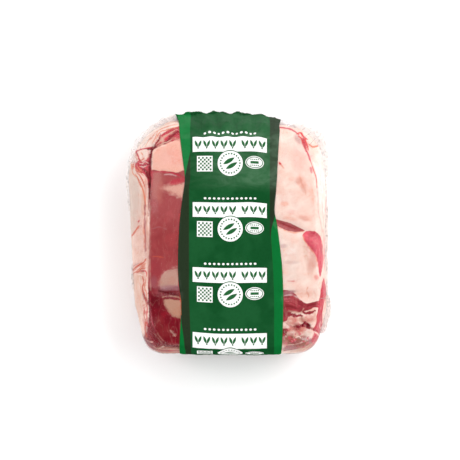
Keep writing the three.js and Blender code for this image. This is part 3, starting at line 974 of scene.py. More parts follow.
THREADS = (
    Thread("crevice", Tone.DEEP, 3, 1, -2.2, (
        (153, 146.6), (150.4, 153), (149.6, 166), (149.6, 178), (149.5, 186),
    )),
    Thread("crevice low", Tone.DEEP, 2, 0.9, -1.6, ((149.5, 184), (149.4, 192), (149.2, 199))),
    Thread("crevice tail", Tone.BRICK, 1.5, 0.85, -1.2, (
        (149.6, 180), (149.6, 194), (149, 204), (148.6, 216),
    )),
    # a raised fold of the film, with a painted highlight along it
    Thread("fold highlight", Tone.ROSE, 1, 0.7, 0.5, (
        (147.6, 200), (147, 216), (147.1, 240), (147.8, 262), (148, 282),
    )),
    Thread("fold shade", Tone.MUSCLE, 1.7, 0.85, -1, ((145, 200), (144.8, 214), (144.6, 236), (145.6, 254))),
    Thread("inner fold", Tone.GREY_FAT, 1.1, 0.55, -0.3, (
        (150.6, 206), (149.8, 226), (149.6, 256), (150.6, 290),
    )),
    # painted highlight: a pale glint along the fold of film at the fat pad's rim
    Thread("pad rim highlight", Tone.CREAM, 1.2, 0.7, 0, (
        (152.2, 171), (152.2, 158), (154, 151), (158, 148), (166, 145),
    )),
    Thread("wedge core", Tone.DEEP, 3.4, 0.85, -0.6, (
        (164.6, 143.4), (168.4, 139), (172.4, 134.8), (177.6, 131.4),
    )),
    Thread("wedge line", Tone.BRICK, 1.3, 0.9, -0.6, ((160.4, 133.8), (158.8, 139), (154, 145.6))),
    Thread("wedge dark", Tone.DEEP, 1.6, 0.8, -0.6, ((155, 147.4), (159.6, 144.6), (164, 143.4))),
    Thread("wedge sinew", Tone.SINEW, 1, 0.9, 1, (
        (156, 139), (160, 132), (167, 129.8), (172, 128.2), (178, 126.6),
    )),
    Thread("wedge sinew b", Tone.TAN, 1.1, 0.9, 1, (
        (155.6, 145.4), (160, 141), (164.6, 136), (171, 132.6), (176, 129.6),
    )),
    Thread("wedge sinew c", Tone.TAN, 0.9, 0.8, 1, ((157, 146.4), (162, 143.6), (167.4, 141.8), (172, 139))),
    Thread("wedge sinew d", Tone.ROSE, 0.8, 0.8, 1, ((162, 141), (165, 137), (169, 134.2))),
    Thread("shoulder line", Tone.SINEW, 0.8, 0.7, 0.7, (
        (150, 140), (155, 133), (160, 129.4), (168, 126.4), (178, 124),
    )),
    Thread("shoulder line b", Tone.SINEW, 0.8, 0.6, 1, ((152, 143.6), (155.6, 137), (157.6, 131))),
    Thread("shoulder line c", Tone.SINEW, 0.7, 0.5, 0.7, ((145, 147), (148, 141.6), (150.6, 136.6))),
    Thread("knuckle vein", Tone.ORANGE, 0.8, 0.9, 1, (
        (135, 161), (137.6, 159), (141, 160.4), (144.4, 158.6),
    )),
    Thread("knuckle vein b", Tone.SINEW, 0.8, 0.9, 1, (
        (134, 166), (136.4, 169.6), (140, 172.4), (143.6, 176),
    )),
    Thread("knuckle vein c", Tone.ORANGE, 0.7, 0.9, 1, (
        (136.6, 172.6), (139.4, 175), (142.8, 181), (145, 188),
    )),
    Thread("shoulder line d", Tone.TAN, 0.8, 0.6, 1, ((160, 127.4), (168, 123.6), (176, 121.6))),
    Thread("rim vein", Tone.CRIMSON, 1.5, 1, 1, ((135.6, 151.6), (140, 149.6), (147, 148.2), (153, 146.6))),
    Thread("rim vein dark", Tone.DEEP, 2.6, 0.9, -0.4, ((147.6, 149.4), (151, 148.2), (154, 146))),
    Thread("rim vein low", Tone.CRIMSON, 1.4, 1, 1, ((135.6, 151.6), (138, 156), (140, 161))),
    Thread("rim line", Tone.SINEW, 0.9, 0.9, 1, (
        (137, 154), (133.6, 158.4), (131.8, 164), (132.6, 172), (136, 177),
    )),
    Thread("rim line b", Tone.ORANGE, 1, 0.8, 1, ((136.4, 158), (134, 163), (133, 169))),
    Thread("lump streak", Tone.SINEW, 1, 0.8, 0, ((141, 151.6), (143, 155), (144, 158.4))),
    Thread("lump shade", Tone.CRIMSON, 1.2, 0.8, -0.6, ((148, 150.4), (148.4, 156), (147.6, 160))),
    Thread("knuckle dark", Tone.CLOT, 2, 0.85, -1.2, ((143, 168.4), (146, 172), (147.4, 178))),
    Thread("knuckle pit", Tone.CLOT, 1.3, 0.85, -0.8, ((142.6, 164.6), (145.4, 165.4), (148, 163.4))),
    Thread("knuckle glint", Tone.SHELL, 0.6, 0.9, 1, (
        (139, 163), (142, 163.6), (145, 161.6), (148.4, 163.4),
    )),
    Thread("knuckle glint b", Tone.CREAM, 0.5, 0.8, 1, ((140, 166.4), (143.4, 167), (147, 165.4))),
    Thread("knuckle glint c", Tone.SINEW, 0.8, 0.9, 1, ((137, 165), (139, 168.4), (142, 171.4))),
    Thread("flank vein", Tone.SINEW, 1.3, 0.9, 1, (
        (135.4, 174), (138.6, 180), (141.6, 186), (144, 194), (145.6, 204),
    )),
    Thread("flank vein b", Tone.ORANGE, 1, 0.8, 1, ((137, 176.4), (139.6, 182), (141.4, 187))),
    Thread("flank dash", Tone.ORANGE, 2, 0.95, 0, ((132, 235.8), (135.4, 231), (138.6, 226.2))),
    Thread("flank dot", Tone.CRIMSON, 2, 0.95, 0, ((138, 222), (139, 220.6))),
    Thread("knot cord", Tone.ORANGE, 1, 0.9, 1, (
        (146, 258.6), (143.6, 262.4), (140.4, 264), (136.6, 266.8), (133, 270.4), (131.6, 274.6),
    )),
    Thread("knot cord b", Tone.ORANGE, 0.9, 0.9, 1, (
        (132.4, 276), (134.6, 272.4), (138.8, 271.8), (141.2, 268.6), (145.6, 268.2),
    )),
    Thread("knot cord c", Tone.SINEW, 0.8, 0.9, 1, (
        (134.2, 268), (137.4, 270.2), (140.6, 267.2), (143, 265.2), (146.4, 263),
    )),
    Thread("knot cord d", Tone.VESSEL, 0.8, 0.9, 1, (
        (140, 272.8), (142.6, 270.6), (146.2, 271.8), (146.8, 277),
    )),
    # raised ridges of the knot, with painted cream highlights on them
    Thread("knot ridge", Tone.CREAM, 0.9, 0.9, 1, ((134, 272.8), (137.4, 268.6), (141, 266.6))),
    Thread("knot ridge b", Tone.CREAM, 0.8, 0.8, 1, ((137, 274.6), (140.4, 274.4), (143, 276.4))),
    Thread("knot pit", Tone.BRICK, 1.6, 0.9, -0.8, ((140, 270.6), (143.4, 271.4))),
    Thread("lower vein", Tone.ORANGE, 1, 0.9, 1, (
        (142, 276), (143.6, 282), (142.4, 289), (144.6, 296), (146.6, 307),
    )),
    Thread("lower vein b", Tone.SINEW, 0.9, 0.7, 1, ((146, 278), (144.6, 287), (146.6, 294), (147, 300))),
    Thread("lower clot", Tone.BRICK, 3, 0.95, -0.6, ((143.4, 293.6), (145.4, 299), (147.8, 304.6))),
    Thread("lower vein c", Tone.ORANGE, 1, 0.9, 1, (
        (144.6, 309), (143.8, 315), (145.6, 321), (144.8, 329), (146.4, 337),
    )),
    Thread("lower vein d", Tone.VESSEL, 0.9, 0.9, 1, ((147.4, 307), (146.8, 316), (147.2, 326))),
    Thread("lower cream", Tone.CREAM, 2, 0.9, 0.6, ((141, 314), (142, 323), (144, 333))),
    Thread("lower sinew", Tone.ROSE, 0.7, 0.4, 0, ((136, 278), (137, 290), (139.6, 302))),
    Thread("lower sinew b", Tone.CREAM, 0.9, 0.5, 0, ((139, 277), (139.6, 288), (141.6, 300))),
    # painted highlight: a pale lilac glint of the film across the top of the eye
    Thread("eye highlight", Tone.LILAC, 1.3, 0.5, 0, ((164.4, 174.8), (170, 174.2), (176, 176))),
    Thread("eye horizon", Tone.ORANGE, 0.6, 0.6, 0, ((152.6, 256.4), (158, 256.6), (164, 257.2))),
    Thread("eye arc", Tone.MAUVE, 0.8, 0.4, 0, ((152, 229), (159, 227), (167, 229.4))),
    Thread("eye rim", Tone.CRIMSON, 1.4, 0.9, -0.8, (
        (152, 172), (162, 171.6), (172, 172.8), (179, 175.4), (186, 178.6),
    )),
    Thread("deep line", Tone.CLOT, 2.4, 1, -1, ((159, 291), (166, 292.4), (173, 294), (182, 297))),
    Thread("pale line", Tone.SAND, 1, 0.8, 0, ((162.6, 297), (169, 295.8), (176, 296.6), (181, 298))),
    Thread("island rim", Tone.RED, 1.1, 0.6, -0.8, (
        (163.4, 300), (165, 305.6), (168.4, 311.4), (173, 316.6), (181, 318.8),
    )),
    Thread("deep streak", Tone.GREY_FAT, 1.3, 0.7, 0.3, ((170, 330.4), (172.6, 333), (175.6, 336.6))),
    Thread("deep streak b", Tone.GREY_FAT, 1.1, 0.5, 0, ((154.6, 334), (158, 338), (162, 344))),
    Thread("deep streak c", Tone.ROSE, 0.8, 0.4, 0, ((157.4, 333), (161, 338.6), (166, 343))),
    Thread("deep sinew", Tone.CORAL, 0.8, 0.6, 0, ((149.8, 296), (150.6, 310), (152, 322), (156, 331))),
    Thread("deep fold", Tone.CLOT, 2.4, 0.9, -1, ((157, 345), (165, 346.4), (173, 346.8), (184, 346.6))),
    Thread("foot line", Tone.CRIMSON, 0.9, 0.7, 0, ((154, 347), (160, 350.2), (170, 351), (182, 351))),
    Thread("foot line b", Tone.TAN, 0.8, 0.5, 0.5, ((153, 346.6), (158, 348.6), (166, 349.4), (182, 349.6))),
    Thread("foot line c", Tone.SINEW, 0.8, 0.5, 0.5, ((156, 350.4), (163, 352), (172, 352.6), (182, 352.8))),
    Thread("corner glint", Tone.CREAM, 0.7, 0.7, 0, ((146.4, 340), (149, 341.6), (152.4, 342.4))),
    Thread("vessel rise", Tone.CORAL, 1.3, 0.9, 1, (
        (276, 127.2), (284, 127.6), (290, 129), (295, 131.8), (299, 135),
    )),
    Thread("vessel strand", Tone.VESSEL, 1.5, 1, 1, (
        (296.6, 134), (300.6, 133), (303.4, 136.6), (307.4, 139.4),
    )),
    Thread("vessel strand b", Tone.VESSEL, 1.4, 1, 1, ((298.6, 136), (301.6, 138.6), (303.4, 143.4))),
    Thread("vessel knot", Tone.CRIMSON, 3.4, 0.95, 0.5, ((303, 139), (304.4, 144), (306.4, 151))),
    Thread("vessel neck", Tone.CORAL, 1.7, 0.9, 0.8, ((305.8, 149), (308.4, 155), (311, 162))),
    Thread("vessel side", Tone.VESSEL, 1.3, 0.9, 1, ((304.6, 137.6), (306.4, 143), (308.6, 150))),
    Thread("vessel dot", Tone.CORAL, 2, 0.8, 0, ((310.6, 167.6), (311.6, 172.6))),
    Thread("vessel tail", Tone.VESSEL, 1, 0.6, 0.5, ((311, 162), (313.6, 170.4), (316.4, 178.6), (317, 188))),
    Thread("vessel end", Tone.PINK, 0.8, 0.5, 0, (
        (317.2, 188), (318.6, 200), (318.9, 212), (321, 223), (322, 232),
    )),
    Thread("wall thread", Tone.ORANGE, 1.5, 1, 1, ((311.6, 131.8), (315, 135.8), (320, 139))),
    Thread("wall thread b", Tone.SINEW, 1.4, 0.9, 1, ((308.6, 144), (313, 147), (319, 145.6))),
    Thread("wall thread c", Tone.PEACH, 1.2, 0.8, 1, ((307, 129.4), (311, 127.4), (316, 131.4), (321, 136))),
    Thread("cap spot", Tone.VESSEL, 2.2, 1, 0, ((279.4, 162.4), (281, 164.6))),
    Thread("cap spot tail", Tone.SINEW, 1, 0.7, 0, ((281, 164.6), (284, 168.6))),
    Thread("cap vein", Tone.SINEW, 1.3, 0.5, 0, ((299.6, 176), (302, 184), (305, 191), (306, 196))),
    Thread("cap glint", Tone.IVORY, 1.6, 0.95, 0.5, ((313, 161.6), (317.4, 172), (320.6, 184), (322, 200))),
    Thread("seam shade", Tone.SINEW, 0.9, 0.8, 0, (
        (277, 226.6), (284, 229.9), (290, 231.9), (297, 232.6), (304, 231),
    )),
    Thread("seam fibre", Tone.DEEP, 1, 0.6, -0.3, ((278, 222), (286, 225), (296, 229))),
    Thread("side rim", Tone.SINEW, 0.9, 0.8, 0, (
        (303, 235.6), (305.6, 243), (310.6, 249.2), (315.6, 255.8), (318, 266),
    )),
    Thread("side mottle", Tone.PINK, 1.2, 0.35, 0, ((307, 235), (312, 239), (316, 245.4))),
    Thread("side mottle b", Tone.DEEP, 1.2, 0.5, 0, ((305, 239), (309.4, 244.6), (314, 250))),
    Thread("side mottle c", Tone.PINK, 1, 0.35, 0, ((312, 234), (317.4, 238.4), (319.6, 246), (320, 256))),
    Thread("rim thread", Tone.CORAL, 0.9, 0.5, 0, ((322.8, 230), (324, 240), (324.4, 256), (324, 270))),
    Thread("rim thread b", Tone.BLUSH, 0.8, 0.7, 1, ((326, 180), (325.6, 210), (326.6, 240), (326.4, 276))),
    Thread("shelf line", Tone.CORAL, 0.9, 0.6, 0, ((287, 280.6), (291, 281.4), (297, 280.4))),
    Thread("corner thread", Tone.SINEW, 1, 0.6, 0, ((308, 287), (306.6, 291), (308.6, 296), (306.6, 301))),
    Thread("corner thread b", Tone.SINEW, 0.9, 0.5, 0, ((314, 291), (316, 296), (316.4, 300))),
    Thread("fan glint", Tone.LILAC, 1.1, 0.7, 0, ((284, 295.6), (290, 294.8), (296, 296.4), (300, 299.6))),
    Thread("fan fibre", Tone.CORAL, 0.8, 0.5, 0, ((284, 299), (291, 299), (298, 303))),
    Thread("fan fibre b", Tone.CORAL, 0.6, 0.45, 0, ((284, 303.6), (290, 303.4), (298, 307))),
    Thread("fan fibre c", Tone.DEEP, 1.2, 0.6, -0.3, ((284, 306.6), (290, 306.4), (296, 308.6))),
    Thread("fan fibre d", Tone.DEEP, 1.1, 0.6, -0.3, ((298, 303.4), (304, 306.4), (312, 304.6), (318, 304))),
    Thread("lump line", Tone.TAN, 1, 0.7, 0, ((288.6, 311), (294, 311.6), (300, 312.8), (303.6, 308.6))),
    Thread("gap line", Tone.DEEP, 1.1, 0.6, -0.5, ((291, 315), (295, 315.9), (300, 315.2))),
    Thread("gap line b", Tone.BRICK, 1.5, 0.45, -0.4, ((301.4, 317), (302, 320), (304, 323))),
    Thread("gap line c", Tone.BRICK, 1.6, 0.6, -0.4, ((284, 322), (288, 324.6), (293, 326.8))),
    Thread("gap line d", Tone.RED, 1.5, 0.8, -0.5, ((309, 327.6), (312.6, 328.8), (317, 331))),
    Thread("strip speck", Tone.CREAM, 0.9, 0.9, 1, ((320.6, 321), (319.8, 325), (320.6, 329))),
    Thread("strip speck b", Tone.CREAM, 1, 0.9, 1, ((313.4, 331.4), (316.4, 333), (319, 335.4))),
    Thread("strip edge", Tone.TAN, 1.2, 0.9, 0.6, ((327, 286), (327, 296), (325.4, 304), (323.6, 312))),
    Thread("corner fold", Tone.MAUVE, 1.1, 0.8, -0.7, ((286, 346.6), (294, 345.6), (303, 342.6))),
    Thread("corner fold b", Tone.MUSCLE, 1.2, 0.8, -0.6, ((284, 351), (290, 350), (298, 348.4))),
    Thread("corner line", Tone.TAN, 1, 0.8, 1, ((290, 352), (298, 350.4), (306, 347), (312, 343))),
    Thread("corner line b", Tone.CREAM, 0.8, 0.8, 1, ((295, 337.6), (299, 336.6), (301, 338.4))),
    Thread("flank streak", Tone.ROSE, 1.1, 0.6, 0, ((141, 205), (142, 216), (140.6, 228))),
    Thread("flank streak b", Tone.SINEW, 0.9, 0.65, 0, (
        (143.6, 212), (143.2, 226), (144.4, 240), (143.4, 252),
    )),
    Thread("flank streak c", Tone.ROSE, 0.7, 0.4, 0, ((137.6, 186), (138.6, 200), (137, 214))),
    Thread("flank streak d", Tone.ROSE, 0.7, 0.4, 0, ((134, 240), (135.4, 250), (134.4, 260))),
    Thread("flank streak e", Tone.SINEW, 0.8, 0.5, 0, ((139.4, 282), (141, 291), (139.8, 300), (142, 310))),
    Thread("fan fibre e", Tone.DEEP, 0.8, 0.5, 0, ((284, 297.6), (290, 297.4), (297, 300.4), (303, 304))),
    Thread("fan fibre f", Tone.CORAL, 0.7, 0.5, 0, ((285, 301.6), (292, 301.4), (299, 305.4), (304, 307.6))),
    Thread("fan fibre g", Tone.CRIMSON, 0.8, 0.5, 0, ((284, 309), (290, 309.6), (296, 309.8))),
    Thread("corner line c", Tone.CREAM, 0.8, 0.7, 0, ((288, 345), (297, 344), (306, 340.6), (312, 336.4))),
    Thread("corner line d", Tone.BLUSH, 0.7, 0.7, 0.5, ((300, 352.4), (308, 348), (314, 342.6))),
    Thread("corner shade", Tone.UMBER, 1.3, 0.6, -0.3, ((286, 343), (294, 342.6), (302, 340))),
    Thread("band glow", Tone.VESSEL, 1.8, 0.85, 0, (
        (182.6, 206), (180, 226), (178.6, 250), (179, 276), (180.6, 296), (182.4, 312),
    )),
)

# Where the film lies loose and looks milky.
SLACK = (
    Oval("upper left corner", (146, 124), (24, 7), 42, 0.75),
    Oval("upper left rim", (130, 152), (5, 14), 20, 0.6),
    Oval("left rim", (124, 205), (5, 50), 0, 0.2),
    Oval("left foot", (127, 300), (5, 26), 6, 0.25),
    Oval("foot", (158, 359), (18, 2), 5, 0.05),
    Oval("right foot", (316, 354), (12, 3), -30, 0.15),
    Oval("right rim", (332, 200), (5, 66), 0, 0.75),
    Oval("upper right corner", (319, 122), (20, 8), -38, 0.6),
    Oval("lower right rim", (333, 300), (3, 18), 0, 0.35),
    Oval("sealed end", (232, 112), (70, 4), 0, 0.4),
)


# Where the meat is torn and blotched.
MOTTLED = (
    Oval("corner", (298, 340), (20, 11), -12, 1.0),
    Oval("low lumps", (300, 328), (16, 6), 0, 0.7),
    Oval("lumps", (302, 318), (16, 7), 0, 0.6),
    Oval("strip", (321, 310), (4, 26), -4, 0.25),
    Oval("wedge", (160, 139), (11, 5), 40, 0.45),
    Oval("knuckle", (142, 166), (8, 9), 0, 0.6),
    Oval("lower flank", (145, 306), (3, 36), 0, 0.7),
    Oval("knot", (139, 268), (9, 8), 0, 0.3),
    Oval("foot", (160, 346), (20, 6), 4, 0.25),
    Oval("vessel", (306, 148), (5, 16), 25, 0.35),
    Oval("side muscle", (314, 243), (10, 13), 0, 0.5),
)

# Folded pleats of the film, as pixels.
PLEATS = (
    ((133, 160), (139, 150), (147, 141), (156, 134)),
    ((129.6, 269.6), (134, 265.6), (139, 263)),
    ((323, 152), (321, 176), (322, 200), (324, 226)),
    ((327, 146), (325.6, 176), (326.6, 206), (327.6, 240), (327, 270)),
    ((318, 128), (310, 133), (301, 140)),
    ((323, 134), (315, 139), (308, 147)),
    ((327, 300), (324, 298), (320, 299)),
    ((314, 345), (306, 340), (297, 338)),
)


@dataclass
class MeatPaint:
    """The colours, the edge of the lean and the relief of the meat, worked out for places on the skin.

    edge is positive in lean and negative in fat, in widths of the blurred edge.
    """

    plan: np.ndarray
    bleed: float = 3.5  # how far a tint reaches past its patch, so that no edge shows a wrong tint
    limit: float = 4.0
    curve_steps: int = 5  # points for each span of an outline or a thread
    faint: float = 0.002  # the least share of a tint that is laid on
    spot_fade: tuple[float, float] = (1.25, 0.45)  # from nothing to full, in shares of the oval's size
    spot_wobble: float = 0.16
    wobble_size: float = 5.0
    thread_reach: float = 6.0  # how far beside its path a thread is looked for
    thread_wander: float = 0.45
    wander_size: float = 3.0
    thread_end: float = 0.45  # the share of its width that a thread keeps at its ends
    thread_unevenness: float = 0.35
    unevenness_size: float = 6.0
    thread_fade: tuple[float, float] = (0.55, -0.45)
    groove_bank: float = 0.8
    fat: np.ndarray = field(init=False)
    lean: np.ndarray = field(init=False)
    coarse: np.ndarray = field(init=False)
    edge: np.ndarray = field(init=False)
    rise: np.ndarray = field(init=False)

    def __post_init__(self) -> None:
        """Starts with plain cream fat over red lean."""
        count = len(self.plan)
        self.fat = np.tile(Tone.CREAM.linear(), (count, 1))
        self.lean = np.tile(Tone.MUSCLE.linear(), (count, 1))
        self.coarse = np.ones(count)
        self.edge = np.full(count, -self.limit)
        self.rise = np.zeros(count)

    def near(self, points: np.ndarray, margin: float) -> np.ndarray:
        """The numbers of the places within a margin of some points' box.

        Args:
            points: The points.
            margin: How far outside their box a place may lie.

        Returns:
            The numbers of the places.
        """
        low = points.min(axis=0) - margin
        high = points.max(axis=0) + margin
        return np.nonzero(np.all((self.plan > low) & (self.plan < high), axis=1))[0]

    @staticmethod
    def tint(layer: np.ndarray, rows: np.ndarray, tone: Tone, share: np.ndarray) -> None:
        """Moves some rows of a layer towards a tone by a share of the way."""
        layer[rows] += (tone.linear() - layer[rows]) * share[:, None]

    def add_patch(self, patch: Patch) -> None:
        """Lays a patch over what was there.

        Args:
            patch: The patch.
        """
        outline = through(PHOTO.place(patch.outline), self.curve_steps, closed=True)
        rows = self.near(outline, 4.0 * self.bleed)
        places = self.plan[rows]
        gap, _ = distance_to_path(places, np.vstack([outline, outline[:1]]))
        depth = np.where(inside_outline(places, outline), gap, -gap)
        share = smooth_step(-self.bleed, 0.0, depth)
        soft = depth / (patch.softness * PHOTO.pitch)
        if patch.tissue is Tissue.LEAN:
            self.edge[rows] = np.maximum(self.edge[rows], np.clip(soft, -self.limit, self.limit))
            self.tint(self.lean, rows, patch.tone, share)
        else:
            self.edge[rows] = np.minimum(self.edge[rows], np.clip(-soft, -self.limit, self.limit))
            self.tint(self.fat, rows, patch.tone, share)
        self.coarse[rows] += (patch.coarse - self.coarse[rows]) * share

    def share_of(self, oval: Oval) -> np.ndarray:
        """How strongly an oval covers each place, from 0 to its strength.

        Args:
            oval: The oval.

        Returns:
            A share for each place.
        """
        offset = self.plan - PHOTO.place(oval.middle)
        c = math.cos(math.radians(oval.turn))
        s = math.sin(math.radians(oval.turn))
        across = (offset[:, 0] * c + offset[:, 1] * s) / (oval.radii[0] * PHOTO.pitch)
        along = (offset[:, 1] * c - offset[:, 0] * s) / (oval.radii[1] * PHOTO.pitch)
        x, y = self.plan.T / self.wobble_size
        ragged = self.spot_wobble * smooth_noise(x, y, oval.middle[0])
        return oval.strength * smooth_step(*self.spot_fade, np.hypot(across, along) + ragged)

    def most_of(self, ovals: tuple[Oval, ...], least: float) -> np.ndarray:
        """The strongest share that any of some ovals has at each place, and no less than a least one."""
        return np.maximum.reduce([self.share_of(oval) for oval in ovals] + [np.full(len(self.plan), least)])

    def add_spot(self, spot: Spot) -> None:
        """Tints the fat under a spot, and the lean unless it keeps to fat, and lets it swell.

        Args:
            spot: The spot.
        """
        share = self.share_of(spot)
        rows = np.nonzero(share > self.faint)[0]
        self.tint(self.fat, rows, spot.tone, share[rows])
        if spot.tints_lean:
            self.tint(self.lean, rows, spot.tone, share[rows])
        self.rise[rows] += spot.swell * share[rows]

    def add_thread(self, thread: Thread) -> None:
        """Draws a thread of uneven width that thins out at its ends, and sinks its groove if it has one.

        Args:
            thread: The thread.
        """
        path = through(PHOTO.place(thread.points), self.curve_steps)
        rows = self.near(path, self.thread_reach)
        x, y = self.plan[rows].T
        gap, along = distance_to_path(self.plan[rows], path)
        wander = smooth_noise(x / self.wander_size, y / self.wander_size, thread.width)
        gap = gap + self.thread_wander * wander
        arch = np.sin(np.pi * np.clip(along, 0.02, 0.98)) ** 0.5
        uneven = smooth_noise(x / self.unevenness_size, y / self.unevenness_size, 3.0)
        half = 0.5 * thread.width * PHOTO.pitch * (self.thread_end + (1.0 - self.thread_end) * arch)
        half = half * (1.0 + self.thread_unevenness * uneven)
        share = thread.strength * smooth_step(*self.thread_fade, gap - half)
        self.tint(self.fat, rows, thread.tone, share)
        self.tint(self.lean, rows, thread.tone, share)
        self.rise[rows] += min(thread.relief, 0.0) * bell(np.maximum(gap, 0.0) / (half + self.groove_bank))

    def add_unseen(self, unseen: UnseenMeat, at: Stations, places: np.ndarray) -> None:
        """Gives the flanks below the rim, the two ends and the underside their own lean and seams of fat.

        Args:
            unseen: What the meat is like there.
            at: The places' stations.
            places: The places.
        """
        share, edge, shade = unseen.laid(at, places)
        self.edge = self.edge + (np.clip(edge, -self.limit, self.limit) - self.edge) * share
        rows = np.nonzero(share > self.faint)[0]
        share = share[rows]
        shade = shade[rows]
        self.tint(self.lean, rows, Tone.MUSCLE, share)
        self.tint(self.lean, rows, Tone.DEEP, share * unseen.dark_lean * shade)
        self.tint(self.fat, rows, Tone.CREAM, unseen.pale_fat * share)
        self.tint(self.fat, rows, Tone.ROSE, share * unseen.pink_fat * (1.0 - shade))


@dataclass(frozen=True)
class UnseenMeat:
    """Lean and fat where the photograph shows nothing: muscles of a size, parted by seams of fat."""

    below_rim: tuple[float, float] = (4.0, -10.0)  # heights over the rim between which it takes over
    end_height: tuple[float, float] = (46.0, 34.0)
    end_turn: tuple[float, float] = (0.72, 0.9)
    muscle_size: tuple[float, float, float] = (44.0, 60.0, 30.0)
    seam_size: tuple[float, float, float] = (34.0, 52.0, 17.0)
    seam_slant: float = 0.12
    seam_sharpness: float = 6.5
    leanness: float = 0.35
    spread: float = 1.6
    end_leanness: float = 1.1
    right_fatness: float = 0.9
    right_turn: tuple[float, float] = (0.55, 0.95)
    muscle_gain: float = 5.0
    seam_gain: float = 9.0
    shade_size: float = 26.0
    dark_lean: float = 0.7
    pale_fat: float = 0.8
    pink_fat: float = 0.5

    def laid(self, at: Stations, places: np.ndarray) -> tuple[np.ndarray, np.ndarray, np.ndarray]:
        """What places on the skin get.

        Args:
            at: The places' stations.
            places: The places.

        Returns:
            How far it takes over, the edge of the lean, and how dark the meat is, from 0 to 1.
        """
        x, y, z = places.T
        low, high = self.below_rim
        below = smooth_step(FORM.rim_height + low, FORM.rim_height + high, z)
        at_end = smooth_step(*self.end_turn, np.abs(np.sin(at.turn))) * smooth_step(*self.end_height, z)
        wide, long, tall = self.muscle_size
        muscle = self.leanness + self.spread * smooth_noise(x / wide + 3.0, y / long, z / tall)
        to_right = smooth_step(*self.right_turn, np.cos(at.turn))
        muscle = muscle + self.end_leanness * at_end - self.right_fatness * to_right * (1.0 - at_end)
        wide, long, tall = self.seam_size
        slanted = (z + self.seam_slant * x) / tall
        seams = ridge_noise(x / wide, y / long + 5.0, slanted, self.seam_sharpness)
        size = self.shade_size
        shade = 0.5 + 0.5 * smooth_noise(x / size, y / size, z / size + 9.0)
        return np.maximum(below, at_end), self.muscle_gain * muscle - self.seam_gain * seams, shade


# ---------------------------------------------------------------------------------------------------------
# Shaders
# ---------------------------------------------------------------------------------------------------------


class Value:
    """A socket in a shader expression, whose operators add the Math nodes that work it out."""

    def __init__(self, recipe: Recipe, socket: bpy.types.NodeSocket) -> None:
        """Keeps the recipe that the socket belongs to."""
        self.recipe = recipe
        self.socket = socket

    def __add__(self, other: Value | float) -> Value:
        """The sum."""
        return self.recipe.math("ADD", self, other)

    __radd__ = __add__

    def __sub__(self, other: Value | float) -> Value:
        """The difference."""
        return self.recipe.math("SUBTRACT", self, other)

    def __rsub__(self, other: float) -> Value:
        """The difference from a number."""
        return self.recipe.math("SUBTRACT", other, self)

    def __mul__(self, other: Value | float) -> Value:
        """The product."""
        return self.recipe.math("MULTIPLY", self, other)

    __rmul__ = __mul__

    def __truediv__(self, other: Value | float) -> Value:
        """The quotient."""
        return self.recipe.math("DIVIDE", self, other)

    def __pow__(self, power: float) -> Value:
        """This value to a power."""
        return self.recipe.math("POWER", self, power)

    def __abs__(self) -> Value:
        """The size without its sign."""
        return self.recipe.math("ABSOLUTE", self)

    def at_least(self, other: Value | float) -> Value:
        """The larger of two values."""
        return self.recipe.math("MAXIMUM", self, other)

    def at_most(self, other: Value | float) -> Value:
        """The smaller of two values."""
        return self.recipe.math("MINIMUM", self, other)

    def ramp(
        self, low: float, high: float, to_low: float = 0.0, to_high: float = 1.0, kind: str = SMOOTH
    ) -> Value:
        """Maps low to high onto another range, and stays at its ends beyond.

        Args:
            low: Where this value's range starts.
            high: Where it ends.
            to_low: What low becomes.
            to_high: What high becomes.
            kind: How it runs between the ends.

        Returns:
            The mapped value.
        """
        settings = {"interpolation_type": kind, "clamp": True}
        values = {"Value": self, "From Min": low, "From Max": high, "To Min": to_low, "To Max": to_high}
        return Value(self.recipe, self.recipe.node("ShaderNodeMapRange", values, settings).outputs["Result"])

    def track(self, stations: tuple[tuple[float, float], ...]) -> Value:
        """A broken line: the numbers that belong to rising stations of this value, joined straight.

        Args:
            stations: Pairs of a value and the number that belongs to it.

        Returns:
            The number for this value.
        """
        line = 0.0 * self + stations[0][1]
        for (start, low), (end, high) in zip(stations, stations[1:]):
            line = line + self.ramp(start, end, 0.0, high - low, STRAIGHT)
        return line


class Graph:
    """A node tree that is written as calls."""

    def __init__(self, tree: bpy.types.NodeTree) -> None:
        """Takes over a tree."""
        self.tree = tree

    @classmethod
    def shape_group(cls, name: str, inputs: dict[str, str]) -> Graph:
        """Starts a Geometry Nodes group, which takes and gives a geometry.

        Args:
            name: Its name.
            inputs: Its other inputs by name, with the kind of each.

        Returns:
            The graph of the group.
        """
        tree = bpy.data.node_groups.new(name, "GeometryNodeTree")
        for key, kind in {"Geometry": "Geometry", **inputs}.items():
            tree.interface.new_socket(key, in_out="INPUT", socket_type=f"NodeSocket{kind}")
        tree.interface.new_socket("Geometry", in_out="OUTPUT", socket_type="NodeSocketGeometry")
        return cls(tree)

    def node(self, kind: str, values: dict | None = None, settings: dict | None = None) -> bpy.types.Node:
        """Adds a node.

        Args:
            kind: The node's type.
            values: What goes into its sockets, by name or number: a number or a colour, or a Value, a socket
                or a node to link. A node is linked by its first output.
            settings: Its settings, which are set before its sockets.

        Returns:
            The node.
        """
        made = self.tree.nodes.new(kind)
        for name, setting in (settings or {}).items():
            setattr(made, name, setting)
        for key, value in (values or {}).items():
            if isinstance(value, Value):
                value = value.socket
            elif isinstance(value, bpy.types.Node):
                value = value.outputs[0]
            if isinstance(value, bpy.types.NodeSocket):
                self.tree.links.new(value, made.inputs[key])
            else:
                made.inputs[key].default_value = value
        return made

    def coated(self, shape: bpy.types.Node, finish: bpy.types.Material) -> bpy.types.NodeTree:
        """Ends a group with a shape in its finish, and returns the group's tree.

        Args:
            shape: The node that gives the shape.
            finish: The finish.

        Returns:
            The group's tree.
        """
        coat = self.node("GeometryNodeSetMaterial", {"Geometry": shape, "Material": finish})
        self.node("NodeGroupOutput", {0: coat})
        return self.tree


